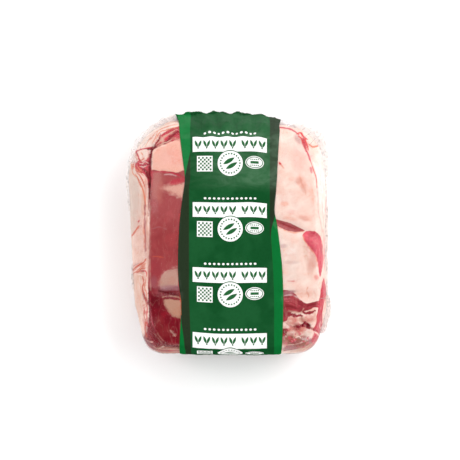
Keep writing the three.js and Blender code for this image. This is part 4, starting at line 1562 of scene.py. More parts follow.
class Recipe(Graph):
    """The node tree of one finish."""

    def __init__(self, name: str) -> None:
        """Starts an empty tree.

        Args:
            name: The material's name.
        """
        self.material = bpy.data.materials.new(name)
        self.material.use_nodes = True
        super().__init__(self.material.node_tree)
        self.tree.nodes.clear()

    def math(self, operation: str, *terms: Value | float) -> Value:
        """Works out one operation on values."""
        made = self.node("ShaderNodeMath", dict(enumerate(terms)), {"operation": operation})
        return Value(self, made.outputs[0])

    def blend(
        self, below: Value | tuple, above: Value | tuple, share: Value | float, how: str = "MIX"
    ) -> Value:
        """Lays one colour over another.

        Args:
            below: The colour below.
            above: The colour above.
            share: How much of the upper colour shows.
            how: The way of mixing.

        Returns:
            The mixed colour.
        """
        settings = {"data_type": "RGBA", "blend_type": how, "clamp_factor": True}
        return Value(self, self.node("ShaderNodeMix", {0: share, 6: below, 7: above}, settings).outputs[2])

    def filtered(self, colour: Value, through_filter: tuple, share: Value | float) -> Value:
        """A colour as a filter of three shares of light shows it, where the filter covers it."""
        return self.blend(colour, (*through_filter, 1.0), share, "MULTIPLY")

    def place(self, stretch: tuple[float, float, float] = (1.0, 1.0, 1.0)) -> Value:
        """The place on the object in millimetres, with each axis scaled.

        Args:
            stretch: How much each axis is scaled.

        Returns:
            The place.
        """
        where = self.node("ShaderNodeTexCoord").outputs["Object"]
        scale = tuple(s / MILLIMETRE for s in stretch)
        scaled = self.node("ShaderNodeVectorMath", {0: where, 1: scale}, {"operation": "MULTIPLY"})
        return Value(self, scaled.outputs[0])

    def noise(self, where: Value, size: float, detail: float = 2.0, distortion: float = 0.0) -> Value:
        """Cloudy noise from 0 to 1 with features of a size in millimetres."""
        values = {"Vector": where, "Scale": 1.0 / size, "Detail": detail, "Distortion": distortion}
        return Value(self, self.node("ShaderNodeTexNoise", values).outputs[0])

    def stored(self, name: str, output: str = "Fac") -> Value:
        """What is stored on the mesh by a name: a number, or a colour where the output is Color."""
        made = self.node("ShaderNodeAttribute", None, {"attribute_name": name})
        return Value(self, made.outputs[output])

    def bump(self, height: Value, depth: float, strength: float = 1.0) -> Value:
        """The direction of a surface with fine relief, depth being the relief's height in millimetres."""
        values = {"Height": height, "Distance": depth * MILLIMETRE, "Strength": strength}
        return Value(self, self.node("ShaderNodeBump", values).outputs[0])

    def principled(self, values: dict) -> bpy.types.Node:
        """A surface that is worked out from named inputs, with scattering that walks at random."""
        return self.node("ShaderNodeBsdfPrincipled", values, {"subsurface_method": "RANDOM_WALK"})

    def finish(self, surface: bpy.types.Node) -> bpy.types.Material:
        """Ends the tree with its surface and returns the material."""
        self.node("ShaderNodeOutputMaterial", {"Surface": surface})
        return self.material


@dataclass(frozen=True)
class RawMeat:
    """Raw lean and fat: painted tints, with ragged edges, marbling, fibres and grain.

    Sizes are those of the features in millimetres. A filter holds the shares of red, green and blue light
    that it lets through.
    """

    ragged_size: float = 3.4
    ragged_reach: float = 1.5
    scatter_depth: float = 3.5
    fibre_way: tuple[float, float, float] = (1.0, 0.24, 0.7)  # fibres run along the pack
    cloud_size: float = 12.0
    grain_size: float = 1.7
    fibre_size: float = 2.6
    blotch_size: float = 5.5
    tear_size: float = 2.6
    vein_size: float = 8.5
    vein_sharpness: float = 34.0
    bruise_size: float = 13.0
    fleck_size: float = 3.6
    sinew_size: float = 9.0
    sinew_sharpness: float = 42.0
    pink_filter: tuple[float, float, float] = (1.0, 0.86, 0.82)
    pale_filter: tuple[float, float, float] = (1.1, 1.2, 1.22)
    vein_filter: tuple[float, float, float] = (0.95, 0.66, 0.6)
    grain_filter: tuple[float, float, float] = (0.93, 0.89, 0.87)
    fibre_filter: tuple[float, float, float] = (0.62, 0.42, 0.46)
    bruise_filter: tuple[float, float, float] = (0.76, 0.58, 0.62)
    soft_light: tuple[float, float, float, float] = (1.0, 0.9, 0.88, 1.0)

    def material(self) -> bpy.types.Material:
        """Builds the material.

        Returns:
            The material.
        """
        r = Recipe("raw_meat")
        where = r.place()
        along = r.place(self.fibre_way)
        ragged = r.noise(where, self.ragged_size, 3.0)
        reach = (r.stored("coarse") * 2.0 + 0.6) * self.ragged_reach
        is_lean = (r.stored("lean_edge") + (ragged - 0.5) * reach).ramp(-0.55, 0.55)
        clouds = r.noise(where, self.cloud_size, 3.0, 0.6)
        grain = r.noise(where, self.grain_size, 3.0)
        fibre = r.noise(along, self.fibre_size, 3.0, 0.5)
        fat = self.fat_colour(r, where, clouds, grain)
        lean = self.lean_colour(r, where, along, fibre)
        relief = grain * 0.5 + fibre * is_lean * 0.8 + clouds * 0.6
        surface = {
            "Base Color": self.mottled(r, where, r.blend(fat, lean, is_lean)),
            "Roughness": 0.5 - is_lean * 0.1 + (grain - 0.5) * 0.2,
            "Normal": r.bump(relief, 0.45, 0.5),
            "Subsurface Weight": 0.15,
            "Specular IOR Level": 0.06,
            "Subsurface Radius": (1.0, 0.42, 0.3),
            "Subsurface Scale": self.scatter_depth * MILLIMETRE,
        }
        return r.finish(r.principled(surface))

    def mottled(self, r: Recipe, where: Value, colour: Value) -> Value:
        """Adds the red and pale blotches of torn edges, where they are painted.

        Args:
            r: The recipe.
            where: The place on the meat.
            colour: Its colour without them.

        Returns:
            Its colour with them.
        """
        amount = r.stored("mottle")
        blotch = r.noise(where, self.blotch_size, 3.0, 1.5)
        tear = r.noise(where, self.tear_size, 3.0, 1.0)
        colour = r.blend(colour, Tone.CORAL.rgba(), blotch.ramp(0.52, 0.64) * amount * 0.75)
        torn = tear.ramp(0.58, 0.68) * blotch.ramp(0.42, 0.6)
        colour = r.blend(colour, Tone.BRICK.rgba(), torn * amount * 0.8)
        return r.blend(colour, Tone.SHELL.rgba(), tear.ramp(0.4, 0.3) * amount * 0.6)

    def fat_colour(self, r: Recipe, where: Value, clouds: Value, grain: Value) -> Value:
        """Fat: pinker clouds, paler islands, thin pink veins and grain.

        Args:
            r: The recipe.
            where: The place on the meat.
            clouds: Soft clouds from 0 to 1.
            grain: Fine grain from 0 to 1.

        Returns:
            The fat's colour.
        """
        fat = r.filtered(r.stored("fat_tint", "Color"), self.pink_filter, clouds.ramp(0.5, 0.72) * 0.6)
        fat = r.filtered(fat, self.pale_filter, clouds.ramp(0.5, 0.32) * r.stored("coarse") * 0.5)
        vein = 1.0 - abs(r.noise(where, self.vein_size, 2.0, 1.4) - 0.5) * self.vein_sharpness
        fat = r.filtered(fat, self.vein_filter, vein.at_least(0.0) * clouds.ramp(0.42, 0.6) * 0.5)
        return r.filtered(fat, self.grain_filter, grain.ramp(0.46, 0.7) * 0.4)

    def lean_colour(self, r: Recipe, where: Value, along: Value, fibre: Value) -> Value:
        """Lean: streaks along the fibres, darker bruises, flecks of marbling and pale sinew.

        Args:
            r: The recipe.
            where: The place on the meat.
            along: The same place, stretched along the fibres.
            fibre: The fibres, from 0 to 1.

        Returns:
            The lean's colour.
        """
        coarse = r.stored("coarse")
        lean = r.stored("lean_tint", "Color")
        lean = r.filtered(lean, self.fibre_filter, fibre.ramp(0.47, 0.68) * coarse * 0.6)
        bruise = r.noise(where, self.bruise_size, 2.0)
        lean = r.filtered(lean, self.bruise_filter, bruise.ramp(0.5, 0.7) * (coarse * 0.4 + 0.25))
        lean = r.blend(lean, self.soft_light, bruise.ramp(0.46, 0.3) * (coarse * 0.5 + 0.15), "SOFT_LIGHT")
        fleck = r.noise(along, self.fleck_size, 2.0, 1.2).ramp(0.62, 0.7)
        lean = r.blend(lean, Tone.CORAL.rgba(), fleck * coarse * 0.3)
        sinew = 1.0 - abs(r.noise(along, self.sinew_size, 2.0, 0.9) - 0.5) * self.sinew_sharpness
        return r.blend(lean, Tone.ROSE.rgba(), sinew.at_least(0.0) * (coarse * 0.14 + 0.04))


@dataclass(frozen=True)
class ClearFilm:
    """Shrunken clear film: a faint soft gloss on what it covers, and milky where it lies loose."""

    head_on_gloss: float = 0.018  # the share of light that it mirrors when seen square on
    edge_gloss: float = 0.05  # the share that it mirrors besides when seen edge on
    gloss_roughness: float = 0.28
    crumple_size: float = 9.0
    fine_size: float = 2.4
    streak_size: float = 2.6
    streak_way: tuple[float, float, float] = (0.5, 0.5, 0.9)
    haze: tuple[float, float, float, float] = (0.78, 0.71, 0.69, 1.0)
    glow_depth: float = 2.0  # how far light passes through milky film, in millimetres

    def material(self) -> bpy.types.Material:
        """Builds the material.

        Returns:
            The material.
        """
        r = Recipe("clear_film")
        where = r.place()
        slack = r.stored("slack")
        crumple = r.noise(where, self.crumple_size, 3.0, 1.6)
        crumple = crumple + r.noise(where, self.fine_size, 2.0, 0.8) * 0.15
        normal = r.bump(crumple * slack.ramp(0.0, 0.5, 0.06, 0.5), 0.5, 0.4)
        streak = r.noise(r.place(self.streak_way), self.streak_size, 3.0, 1.0)
        milky = (slack * streak.ramp(0.25, 0.75, 0.5, 1.35)).at_most(0.95)
        bare = r.node("ShaderNodeBsdfTransparent", {"Color": WHITE})
        shine = {"Color": WHITE, "Roughness": self.gloss_roughness, "Normal": normal}
        gloss = r.node("ShaderNodeBsdfAnisotropic", shine)
        facing = r.node("ShaderNodeLayerWeight", {"Blend": 0.5, "Normal": normal}).outputs["Facing"]
        mirror = Value(r, facing) ** 5.0 * self.edge_gloss + self.head_on_gloss
        clear = r.node("ShaderNodeMixShader", {0: mirror, 1: bare, 2: gloss})
        milk = {
            "Base Color": self.haze,
            "Roughness": 0.4,
            "Specular IOR Level": 0.3,
            "Subsurface Weight": 0.8,
            "Subsurface Radius": (1.0, 0.9, 0.85),
            "Subsurface Scale": self.glow_depth * MILLIMETRE,
        }
        return r.finish(r.node("ShaderNodeMixShader", {0: milky, 1: clear, 2: r.principled(milk)}))


@dataclass(frozen=True)
class BandPrint:
    """The band's print: a dark green middle with a dark and a bright ribbon along its two edges.

    Each edge is a line of places (along, across) on the print chart in millimetres.
    """

    centre_left: tuple = ((-127, -40.0), (-91, -41.4), (-73, -42.2), (49, -42.2), (60, -40.8))
    wedge_edge: tuple = ((56, -60), (62.4, -46.8), (91.8, -40.4), (92.4, -40.8))
    sliver_edge: tuple = ((-132.7, -46.2), (-91.3, -51.5), (-89, -80))
    orange_edge: tuple = ((-96, -56), (-92, -50.7), (-76, -50.8), (-67, -52.2), (-62, -60))
    centre_right: tuple = ((-72.8, 50.6), (-42.3, 49.7), (-7, 47.2), (0, 45.9))
    bright_edge: tuple = ((-72.8, 50.6), (-42.3, 49.7), (-2, 47.2), (5.7, 47.7), (21, 51.5), (25, 70))
    edge_blur: float = 0.25
    cloud_size: float = 26.0
    mottle_size: float = 3.0
    mottle_filter: tuple[float, float, float] = (0.8, 0.85, 0.8)
    crease_size: float = 14.0
    sheen_start: tuple[float, float] = (44.0, 58.0)  # where the painted sheen of reflected light at the sealed end starts
    sheen_end: tuple[float, float] = (104.0, 118.0)
    sheen_side: tuple[float, float] = (-46.0, 10.0)
    coat_start: tuple[float, float] = (-118.0, -104.0)  # the folded end has no gloss

    def material(self) -> bpy.types.Material:
        """Builds the material.

        Returns:
            The material.
        """
        r = Recipe("band_print")
        chart = r.node("ShaderNodeUVMap", None, {"uv_map": PRINT_CHART})
        split = r.node("ShaderNodeSeparateXYZ", {0: chart})
        across, along = (Value(r, split.outputs[axis]) / MILLIMETRE for axis in range(2))
        where = r.place()
        mottle = r.noise(where, self.mottle_size, 3.0)
        creases = r.noise(r.place((0.5, 1.0, 0.5)), self.crease_size, 3.0, 1.6)
        clouds = r.noise(where, self.cloud_size, 2.0, 0.4)
        colour = r.blend(Tone.BAND_DARK.rgba(), Tone.BAND_PALE.rgba(), clouds.ramp(0.38, 0.66) * 0.6)
        fields_to_left = (
            (self.centre_left, Tone.RIBBON_DARK),
            (self.wedge_edge, Tone.WEDGE_BRIGHT),
            (self.sliver_edge, Tone.RIBBON_BRIGHT),
            (self.orange_edge, Tone.EDGE_ORANGE),
        )
        for stations, tone in fields_to_left:
            past = along.track(stations) - across
            colour = r.blend(colour, tone.rgba(), past.ramp(-self.edge_blur, self.edge_blur))
        for stations, tone in ((self.centre_right, Tone.RIBBON_DARK), (self.bright_edge, Tone.RIBBON_BRIGHT)):
            past = across - along.track(stations)
            colour = r.blend(colour, tone.rgba(), past.ramp(-self.edge_blur, self.edge_blur))
        # Painted sheen: a pale veil of reflected light laid into the print's colour towards the sealed end,
        # broken up by the creases.
        haze = along.ramp(*self.sheen_start) * along.ramp(*self.sheen_end, 1.0, 0.25)
        haze = haze * creases.ramp(0.3, 0.7, 0.06, 0.2) * across.ramp(*self.sheen_side, 0.2, 1.0)
        colour = r.blend(colour, Tone.BAND_HAZE.rgba(), haze)
        surface = {
            "Base Color": r.filtered(colour, self.mottle_filter, mottle.ramp(0.45, 0.75) * 0.5),
            "Roughness": 0.38 + mottle * 0.12,
            "Normal": PRINTED_CRUMPLE.normal(r),
            "Specular IOR Level": 0.0,
            "Coat Weight": along.ramp(*self.coat_start, 0.0, 0.14),
            "Coat Roughness": 0.14,
        }
        return r.finish(r.principled(surface))


@dataclass(frozen=True)
class Crumple:
    """Fine crumples of printed film, in millimetres."""

    size: float = 8.0
    depth: float = 0.5

    def normal(self, r: Recipe) -> Value:
        """The direction of the crumpled surface."""
        return r.bump(r.noise(r.place(), self.size, 3.0, 1.2), self.depth, 0.6)


PRINTED_CRUMPLE = Crumple()


@dataclass(frozen=True)
class Ink:
    """A flat ink on the band, a little worn."""

    name: str
    tone: Tone
    gain: float = 1.0  # how much paler than its tone it prints
    wear_size: float = 2.2
    wear_filter: tuple[float, float, float] = (0.9, 0.93, 0.9)

    def material(self) -> bpy.types.Material:
        """Builds the material.

        Returns:
            The material.
        """
        r = Recipe(self.name)
        wear = r.noise(r.place(), self.wear_size, 3.0)
        fresh = (*(float(v) * self.gain for v in self.tone.linear()), 1.0)
        surface = {
            "Base Color": r.filtered(fresh, self.wear_filter, wear.ramp(0.5, 0.75) * 0.2),
            "Roughness": 0.28 + wear * 0.1,
            "Normal": PRINTED_CRUMPLE.normal(r),
        }
        return r.finish(r.principled(surface))


# ---------------------------------------------------------------------------------------------------------
# Pieces
# ---------------------------------------------------------------------------------------------------------


def enlist(piece: bpy.types.Object, finish: bpy.types.Material, slot: Slot, *replaced: str) -> None:
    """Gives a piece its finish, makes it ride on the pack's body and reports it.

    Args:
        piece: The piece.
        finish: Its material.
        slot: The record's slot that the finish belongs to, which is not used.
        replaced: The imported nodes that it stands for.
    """
    piece.data.materials.clear()
    piece.data.materials.append(finish)
    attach(piece, BODY)
    if replaced:
        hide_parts(*replaced)
    log.info("%s: %d faces", piece.name, len(piece.data.polygons))


def face_outwards(piece: bpy.types.Object) -> None:
    """Turns the faces of a closed piece outwards.

    Args:
        piece: The piece.
    """
    shell = bmesh.new()
    shell.from_mesh(piece.data)
    bmesh.ops.recalc_face_normals(shell, faces=shell.faces)
    shell.to_mesh(piece.data)
    shell.free()


def places_of(piece: bpy.types.Object) -> np.ndarray:
    """The places of a piece's vertices in metres, one a row.

    Args:
        piece: The piece.

    Returns:
        The places.
    """
    places = np.empty(len(piece.data.vertices) * 3)
    piece.data.vertices.foreach_get("co", places)
    return places.reshape(-1, 3)


def lay_chart(piece: bpy.types.Object, flat: np.ndarray) -> None:
    """Stores where each vertex lies on the flat print, across and along in metres.

    Args:
        piece: The piece.
        flat: The place of each vertex on the print, one a row.
    """
    numbers = np.empty(len(piece.data.loops), dtype=np.int32)
    piece.data.loops.foreach_get("vertex_index", numbers)
    piece.data.uv_layers.new(name=PRINT_CHART).data.foreach_set("uv", flat[numbers].ravel())


@dataclass
class FilledBag:
    """The meat and the film that is shrunk onto it."""

    film_gap: float = 0.35
    sole_gap: float = 0.3
    sunk_lean: float = 0.3
    highest: float = 1.2  # how far the meat may swell over the plain form
    lumps: tuple = (  # size across, along and up, height, and whether it lies on the flanks alone
        ((14.0, 14.0, 14.0), 0.5, False),
        ((5.5, 6.5, 5.5), 0.3, True),
        ((2.4, 2.8, 2.4), 0.13, True),
    )
    flat_share: float = 0.1  # of the flanks' lumps that the upper face keeps
    bridging: tuple[int, ...] = (40, 24, 12)  # rounds of smoothing that pull the film taut
    crease: float = 0.4  # how far loose film stands up at a crease
    flat_crease: float = 0.01
    loose_fall: tuple[float, float] = (0.05, 0.5)
    unseen_slack: float = 0.12
    strand_girth: float = 0.6
    strand_proud: float = 0.28
    pleat_half: float = 0.26
    pleat_proud: float = 0.12
    pleat_slack: float = 0.3
    grid: SkinGrid = field(default_factory=SkinGrid)

    def beside_band(self) -> np.ndarray:
        """0 under the band, where the meat and the film lie smooth, and 1 clear of it.

        Returns:
            A share for each vertex.
        """
        x, y = FORM.unfitted(self.grid.places[:, :2]).T
        band = PrintedBand()
        inside = np.minimum(x - band.edge(band.left_edge, y), band.edge(band.right_edge, y) - x)
        return smooth_step(1.0, -4.0, inside)

    def meat_rise(self, coat: MeatPaint) -> np.ndarray:
        """How far the meat's surface stands over the plain form, in millimetres.

        Args:
            coat: The meat's colours and relief.

        Returns:
            The rise of each vertex.
        """
        rough = smooth_step(0.84, 1.0, self.grid.at.ring) + self.flat_share
        rise = coat.rise - self.sunk_lean * smooth_step(-1.0, 1.5, coat.edge)
        for size, height, on_flanks in self.lumps:
            rise = rise + height * (rough if on_flanks else 1.0) * smooth_noise(*(self.grid.places / size).T)
        return np.minimum(rise, self.highest) * self.beside_band()

    def film_rise(self, meat: np.ndarray) -> np.ndarray:
        """How far the film stands over the plain form.

        Args:
            meat: How far the meat stands over it.

        Returns:
            The film's rise: it bridges grooves, and creases where it lies loose on a steep flank.
        """
        x, y, z = self.grid.places.T
        taut = meat
        for rounds in self.bridging:
            taut = self.grid.smoothed(np.maximum(taut, meat), rounds)
        fall = np.where(self.grid.at.ring >= 1.0, 1.0 - np.abs(np.cos(self.grid.at.tilt)), 0.0)
        loose = self.crease * smooth_step(*self.loose_fall, fall) + self.flat_crease
        crease = ridge_noise(x / 9.0, y / 13.0, z / 15.0, 4.0)
        crease = crease + 0.6 * ridge_noise(x / 17.0, y / 8.0, z / 6.0, 5.0)
        return np.maximum(taut, meat - 0.06) + loose * crease * self.beside_band() + self.film_gap

    def slack(self, coat: MeatPaint) -> np.ndarray:
        """How milky the film is at each vertex."""
        below = smooth_step(FORM.rim_height + 6.0, FORM.rim_height - 8.0, self.grid.places[:, 2])
        return np.maximum(coat.most_of(SLACK, 0.001) * (1.0 - 0.5 * below), self.unseen_slack * below)

    def painted(self) -> MeatPaint:
        """The meat's colours and relief, laid on in the order of the tables.

        Returns:
            The painted coat.
        """
        coat = MeatPaint(self.grid.plan())
        for patch in PATCHES:
            coat.add_patch(patch)
        for spot in SPOTS:
            coat.add_spot(spot)
        for thread in THREADS:
            coat.add_thread(thread)
        coat.add_unseen(UnseenMeat(), self.grid.at, self.grid.places)
        return coat

    def build(self) -> None:
        """Builds the meat and the film, and dresses them."""
        grid = self.grid
        normals = vertex_normals(grid.places, grid.quads)
        coat = self.painted()
        meat = self.meat_rise(coat)
        places = grid.places + normals * meat[:, None]
        places[:, 2] = np.maximum(places[:, 2], self.sole_gap)
        roast = make_piece("roast", places, grid.quads)
        layers = {
            "fat_tint": coat.fat,
            "lean_tint": coat.lean,
            "coarse": coat.coarse,
            "lean_edge": coat.edge,
            "mottle": coat.most_of(MOTTLED, 0.0),
        }
        for name, values in layers.items():
            paint(roast, name, values)
        enlist(roast, RawMeat().material(), Slot.MEAT, "sealed_bag")
        places = grid.places + normals * self.film_rise(meat)[:, None]
        places += FORM.tent(grid.at, grid.places, normals)
        places[:, 2] = np.maximum(places[:, 2], 0.0)
        film = make_piece("bag_film", places, grid.quads)
        paint(film, "slack", self.slack(coat))
        enlist(film, ClearFilm().material(), Slot.MEAT)
        self.lay_strands(roast, film, coat.limit)

    def lay_strands(self, roast: bpy.types.Object, film: bpy.types.Object, limit: float) -> None:
        """Lays vessels and sinews on the meat, and folded pleats on the film.

        Args:
            roast: The meat.
            film: The film.
            limit: How far the meat's edge value goes, which is negative in fat.
        """
        sinews = SurfaceStrands(roast)
        for thread in THREADS:
            if thread.relief > 0.0:
                half = self.strand_girth * thread.width * PHOTO.pitch
                sinews.add(thread.points, half, self.strand_proud * thread.relief, thread.tone)
        sinews.build("sinews", roast.data.materials[0], {"lean_edge": -limit})
        pleats = SurfaceStrands(film)
        for points in PLEATS:
            pleats.add(points, self.pleat_half, self.pleat_proud, Tone.FILM_HAZE)
        pleats.build("film_pleats", film.data.materials[0], {"slack": self.pleat_slack})


@dataclass(frozen=True)
class Flap:
    """An ear of spare film along the rim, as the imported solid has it, between two directions in degrees."""

    name: str
    start: float
    end: float
    reach: float
    height: float
    lift: float
    ripple: float
    ripples: float


FLAPS = (
    Flap("sealed_fin", 61, 136, 8.8, 37, 3, 1.6, 8.5),
    Flap("left_shoulder", 139, 167, 3.2, 40, -2, 1.6, 2.5),
    Flap("left_knot", 198, 211, 2.2, 36, 2, 0.6, 2.5),
    Flap("left_foot", 229, 247, 1.3, 28, 2, 1.0, 1.5),
    Flap("right_foot", -64, -47, 1.3, 28, 2, 1.0, 1.5),
    Flap("right_ear", -47, -31, 7.5, 34, 7, 1.2, 1.5),
    Flap("right_edge", -33, 30, 3.4, 34, 3, 1.4, 5.5),
    Flap("right_shoulder", 29, 60, 10.5, 38, 3, 1.8, 2.5),
)


@dataclass(frozen=True)
class FilmEars:
    """The ears and flaps of spare film round the rim, thin and crumpled."""

    root: float = 4.0  # how deep a flap starts inside the meat
    hem: float = 1.2  # the least reach of a flap, at its two ends
    thickness: float = 0.55
    across: int = 12
    mean_rim: float = 120.0
    pitch: float = 0.9  # between rows, in millimetres
    least_rows: int = 8
    ripple_share: float = 0.6
    wave: float = 0.2
    fold: float = 0.4
    full_reach: float = 4.0  # the reach from which a flap crumples fully
    clear_crumple: float = 0.45
    unevenness: float = 0.2
    unevenness_size: float = 7.0
    print_from: float = 66.4  # the stretch of the sealed fin that is printed, as angles
    print_to: float = 113.2

    def sheet(self, flap: Flap, start: float, end: float, crumpled: float) -> tuple[np.ndarray, np.ndarray]:
        """The closed mesh of a flap between two angles.

        Args:
            flap: The flap.
            start: The first angle in degrees.
            end: The last one.
            crumpled: How crumpled the flap is, from 0 to 1.

        Returns:
            Its places and its faces.
        """
        rows = max(int(math.radians(end - start) * self.mean_rim / self.pitch), self.least_rows)
        degrees = np.linspace(start, end, rows + 1)[:, None]
        turn = np.radians(degrees)
        u = (degrees - flap.start) / (flap.end - flap.start)
        swell = np.sin(np.pi * np.clip(u, 0.0, 1.0)) ** 0.6
        ripples = u * flap.ripples
        ragged = 1.0 + 0.16 * np.sin(ripples * 5.1 + 1.0) + 0.1 * np.sin(ripples * 9.7)
        ragged = ragged + 0.12 * smooth_noise(degrees * 1.7, 0.5, 0.5)
        out = self.hem + (flap.reach - self.hem) * swell * ragged
        rim = FORM.rim_distance(turn)
        share = np.linspace(0.0, 1.0, self.across)[None, :]
        reach = rim - self.root + (self.root + out) * share
        past = np.clip((reach - rim) / out, 0.0, 1.0)
        crumple = self.wave * smooth_noise(degrees / 1.6, share * 3.0, flap.reach)
        crumple = crumple + self.fold * ridge_noise(degrees / 2.6, share * 2.0, flap.height)
        rise = swell * (flap.lift + self.ripple_share * flap.ripple * np.sin(2.0 * np.pi * ripples))
        rise = rise + crumple * crumpled * np.minimum(out / self.full_reach, 1.0)
        middle = np.stack([reach * np.cos(turn), reach * np.sin(turn), flap.height + rise * past], axis=-1)
        middle = middle * FORM.fit + FORM.shift
        half = 0.5 * self.thickness * (1.0 - 0.5 * share)[..., None] * np.array([0.0, 0.0, 1.0])
        loops = np.concatenate([middle - half, (middle + half)[:, ::-1]], axis=1)
        size = loops.shape[1]
        caps = [
            [base + j, base + j + 1, base + size - 2 - j, base + size - 1 - j]
            for base in (0, rows * size)
            for j in range(self.across - 1)
        ]
        return loops.reshape(-1, 3), np.vstack([grid_quads(rows + 1, size, closed=True), np.array(caps)])

    @staticmethod
    def joined(name: str, sheets: list[tuple[np.ndarray, np.ndarray]]) -> bpy.types.Object:
        """One piece from several sheets.

        Args:
            name: The piece's name.
            sheets: The places and the faces of each sheet.

        Returns:
            The piece.
        """
        places = np.vstack([sheet[0] for sheet in sheets])
        starts = np.cumsum([0] + [len(sheet[0]) for sheet in sheets[:-1]])
        faces = np.vstack([sheet[1] + start for sheet, start in zip(sheets, starts)])
        piece = make_piece(name, places, faces)
        face_outwards(piece)
        return piece

    def build(self, print_finish: bpy.types.Material) -> None:
        """Builds the clear ears and the printed stretch of the sealed fin.

        Args:
            print_finish: The band's material.
        """
        fin = FLAPS[0]
        stretches = [(fin, fin.start, self.print_from), (fin, self.print_to, fin.end)]
        stretches += [(flap, flap.start, flap.end) for flap in FLAPS[1:]]
        ears = self.joined("film_ears", [self.sheet(*stretch, self.clear_crumple) for stretch in stretches])
        uneven = smooth_noise(*places_of(ears).T / (MILLIMETRE * self.unevenness_size))
        paint(ears, "slack", 1.0 + self.unevenness * uneven)
        enlist(ears, bpy.data.materials["clear_film"], Slot.MEAT)
        printed = self.joined("printed_fin", [self.sheet(fin, self.print_from, self.print_to, 1.0)])
        lay_chart(printed, places_of(printed)[:, :2])
        enlist(printed, print_finish, Slot.PRINT)


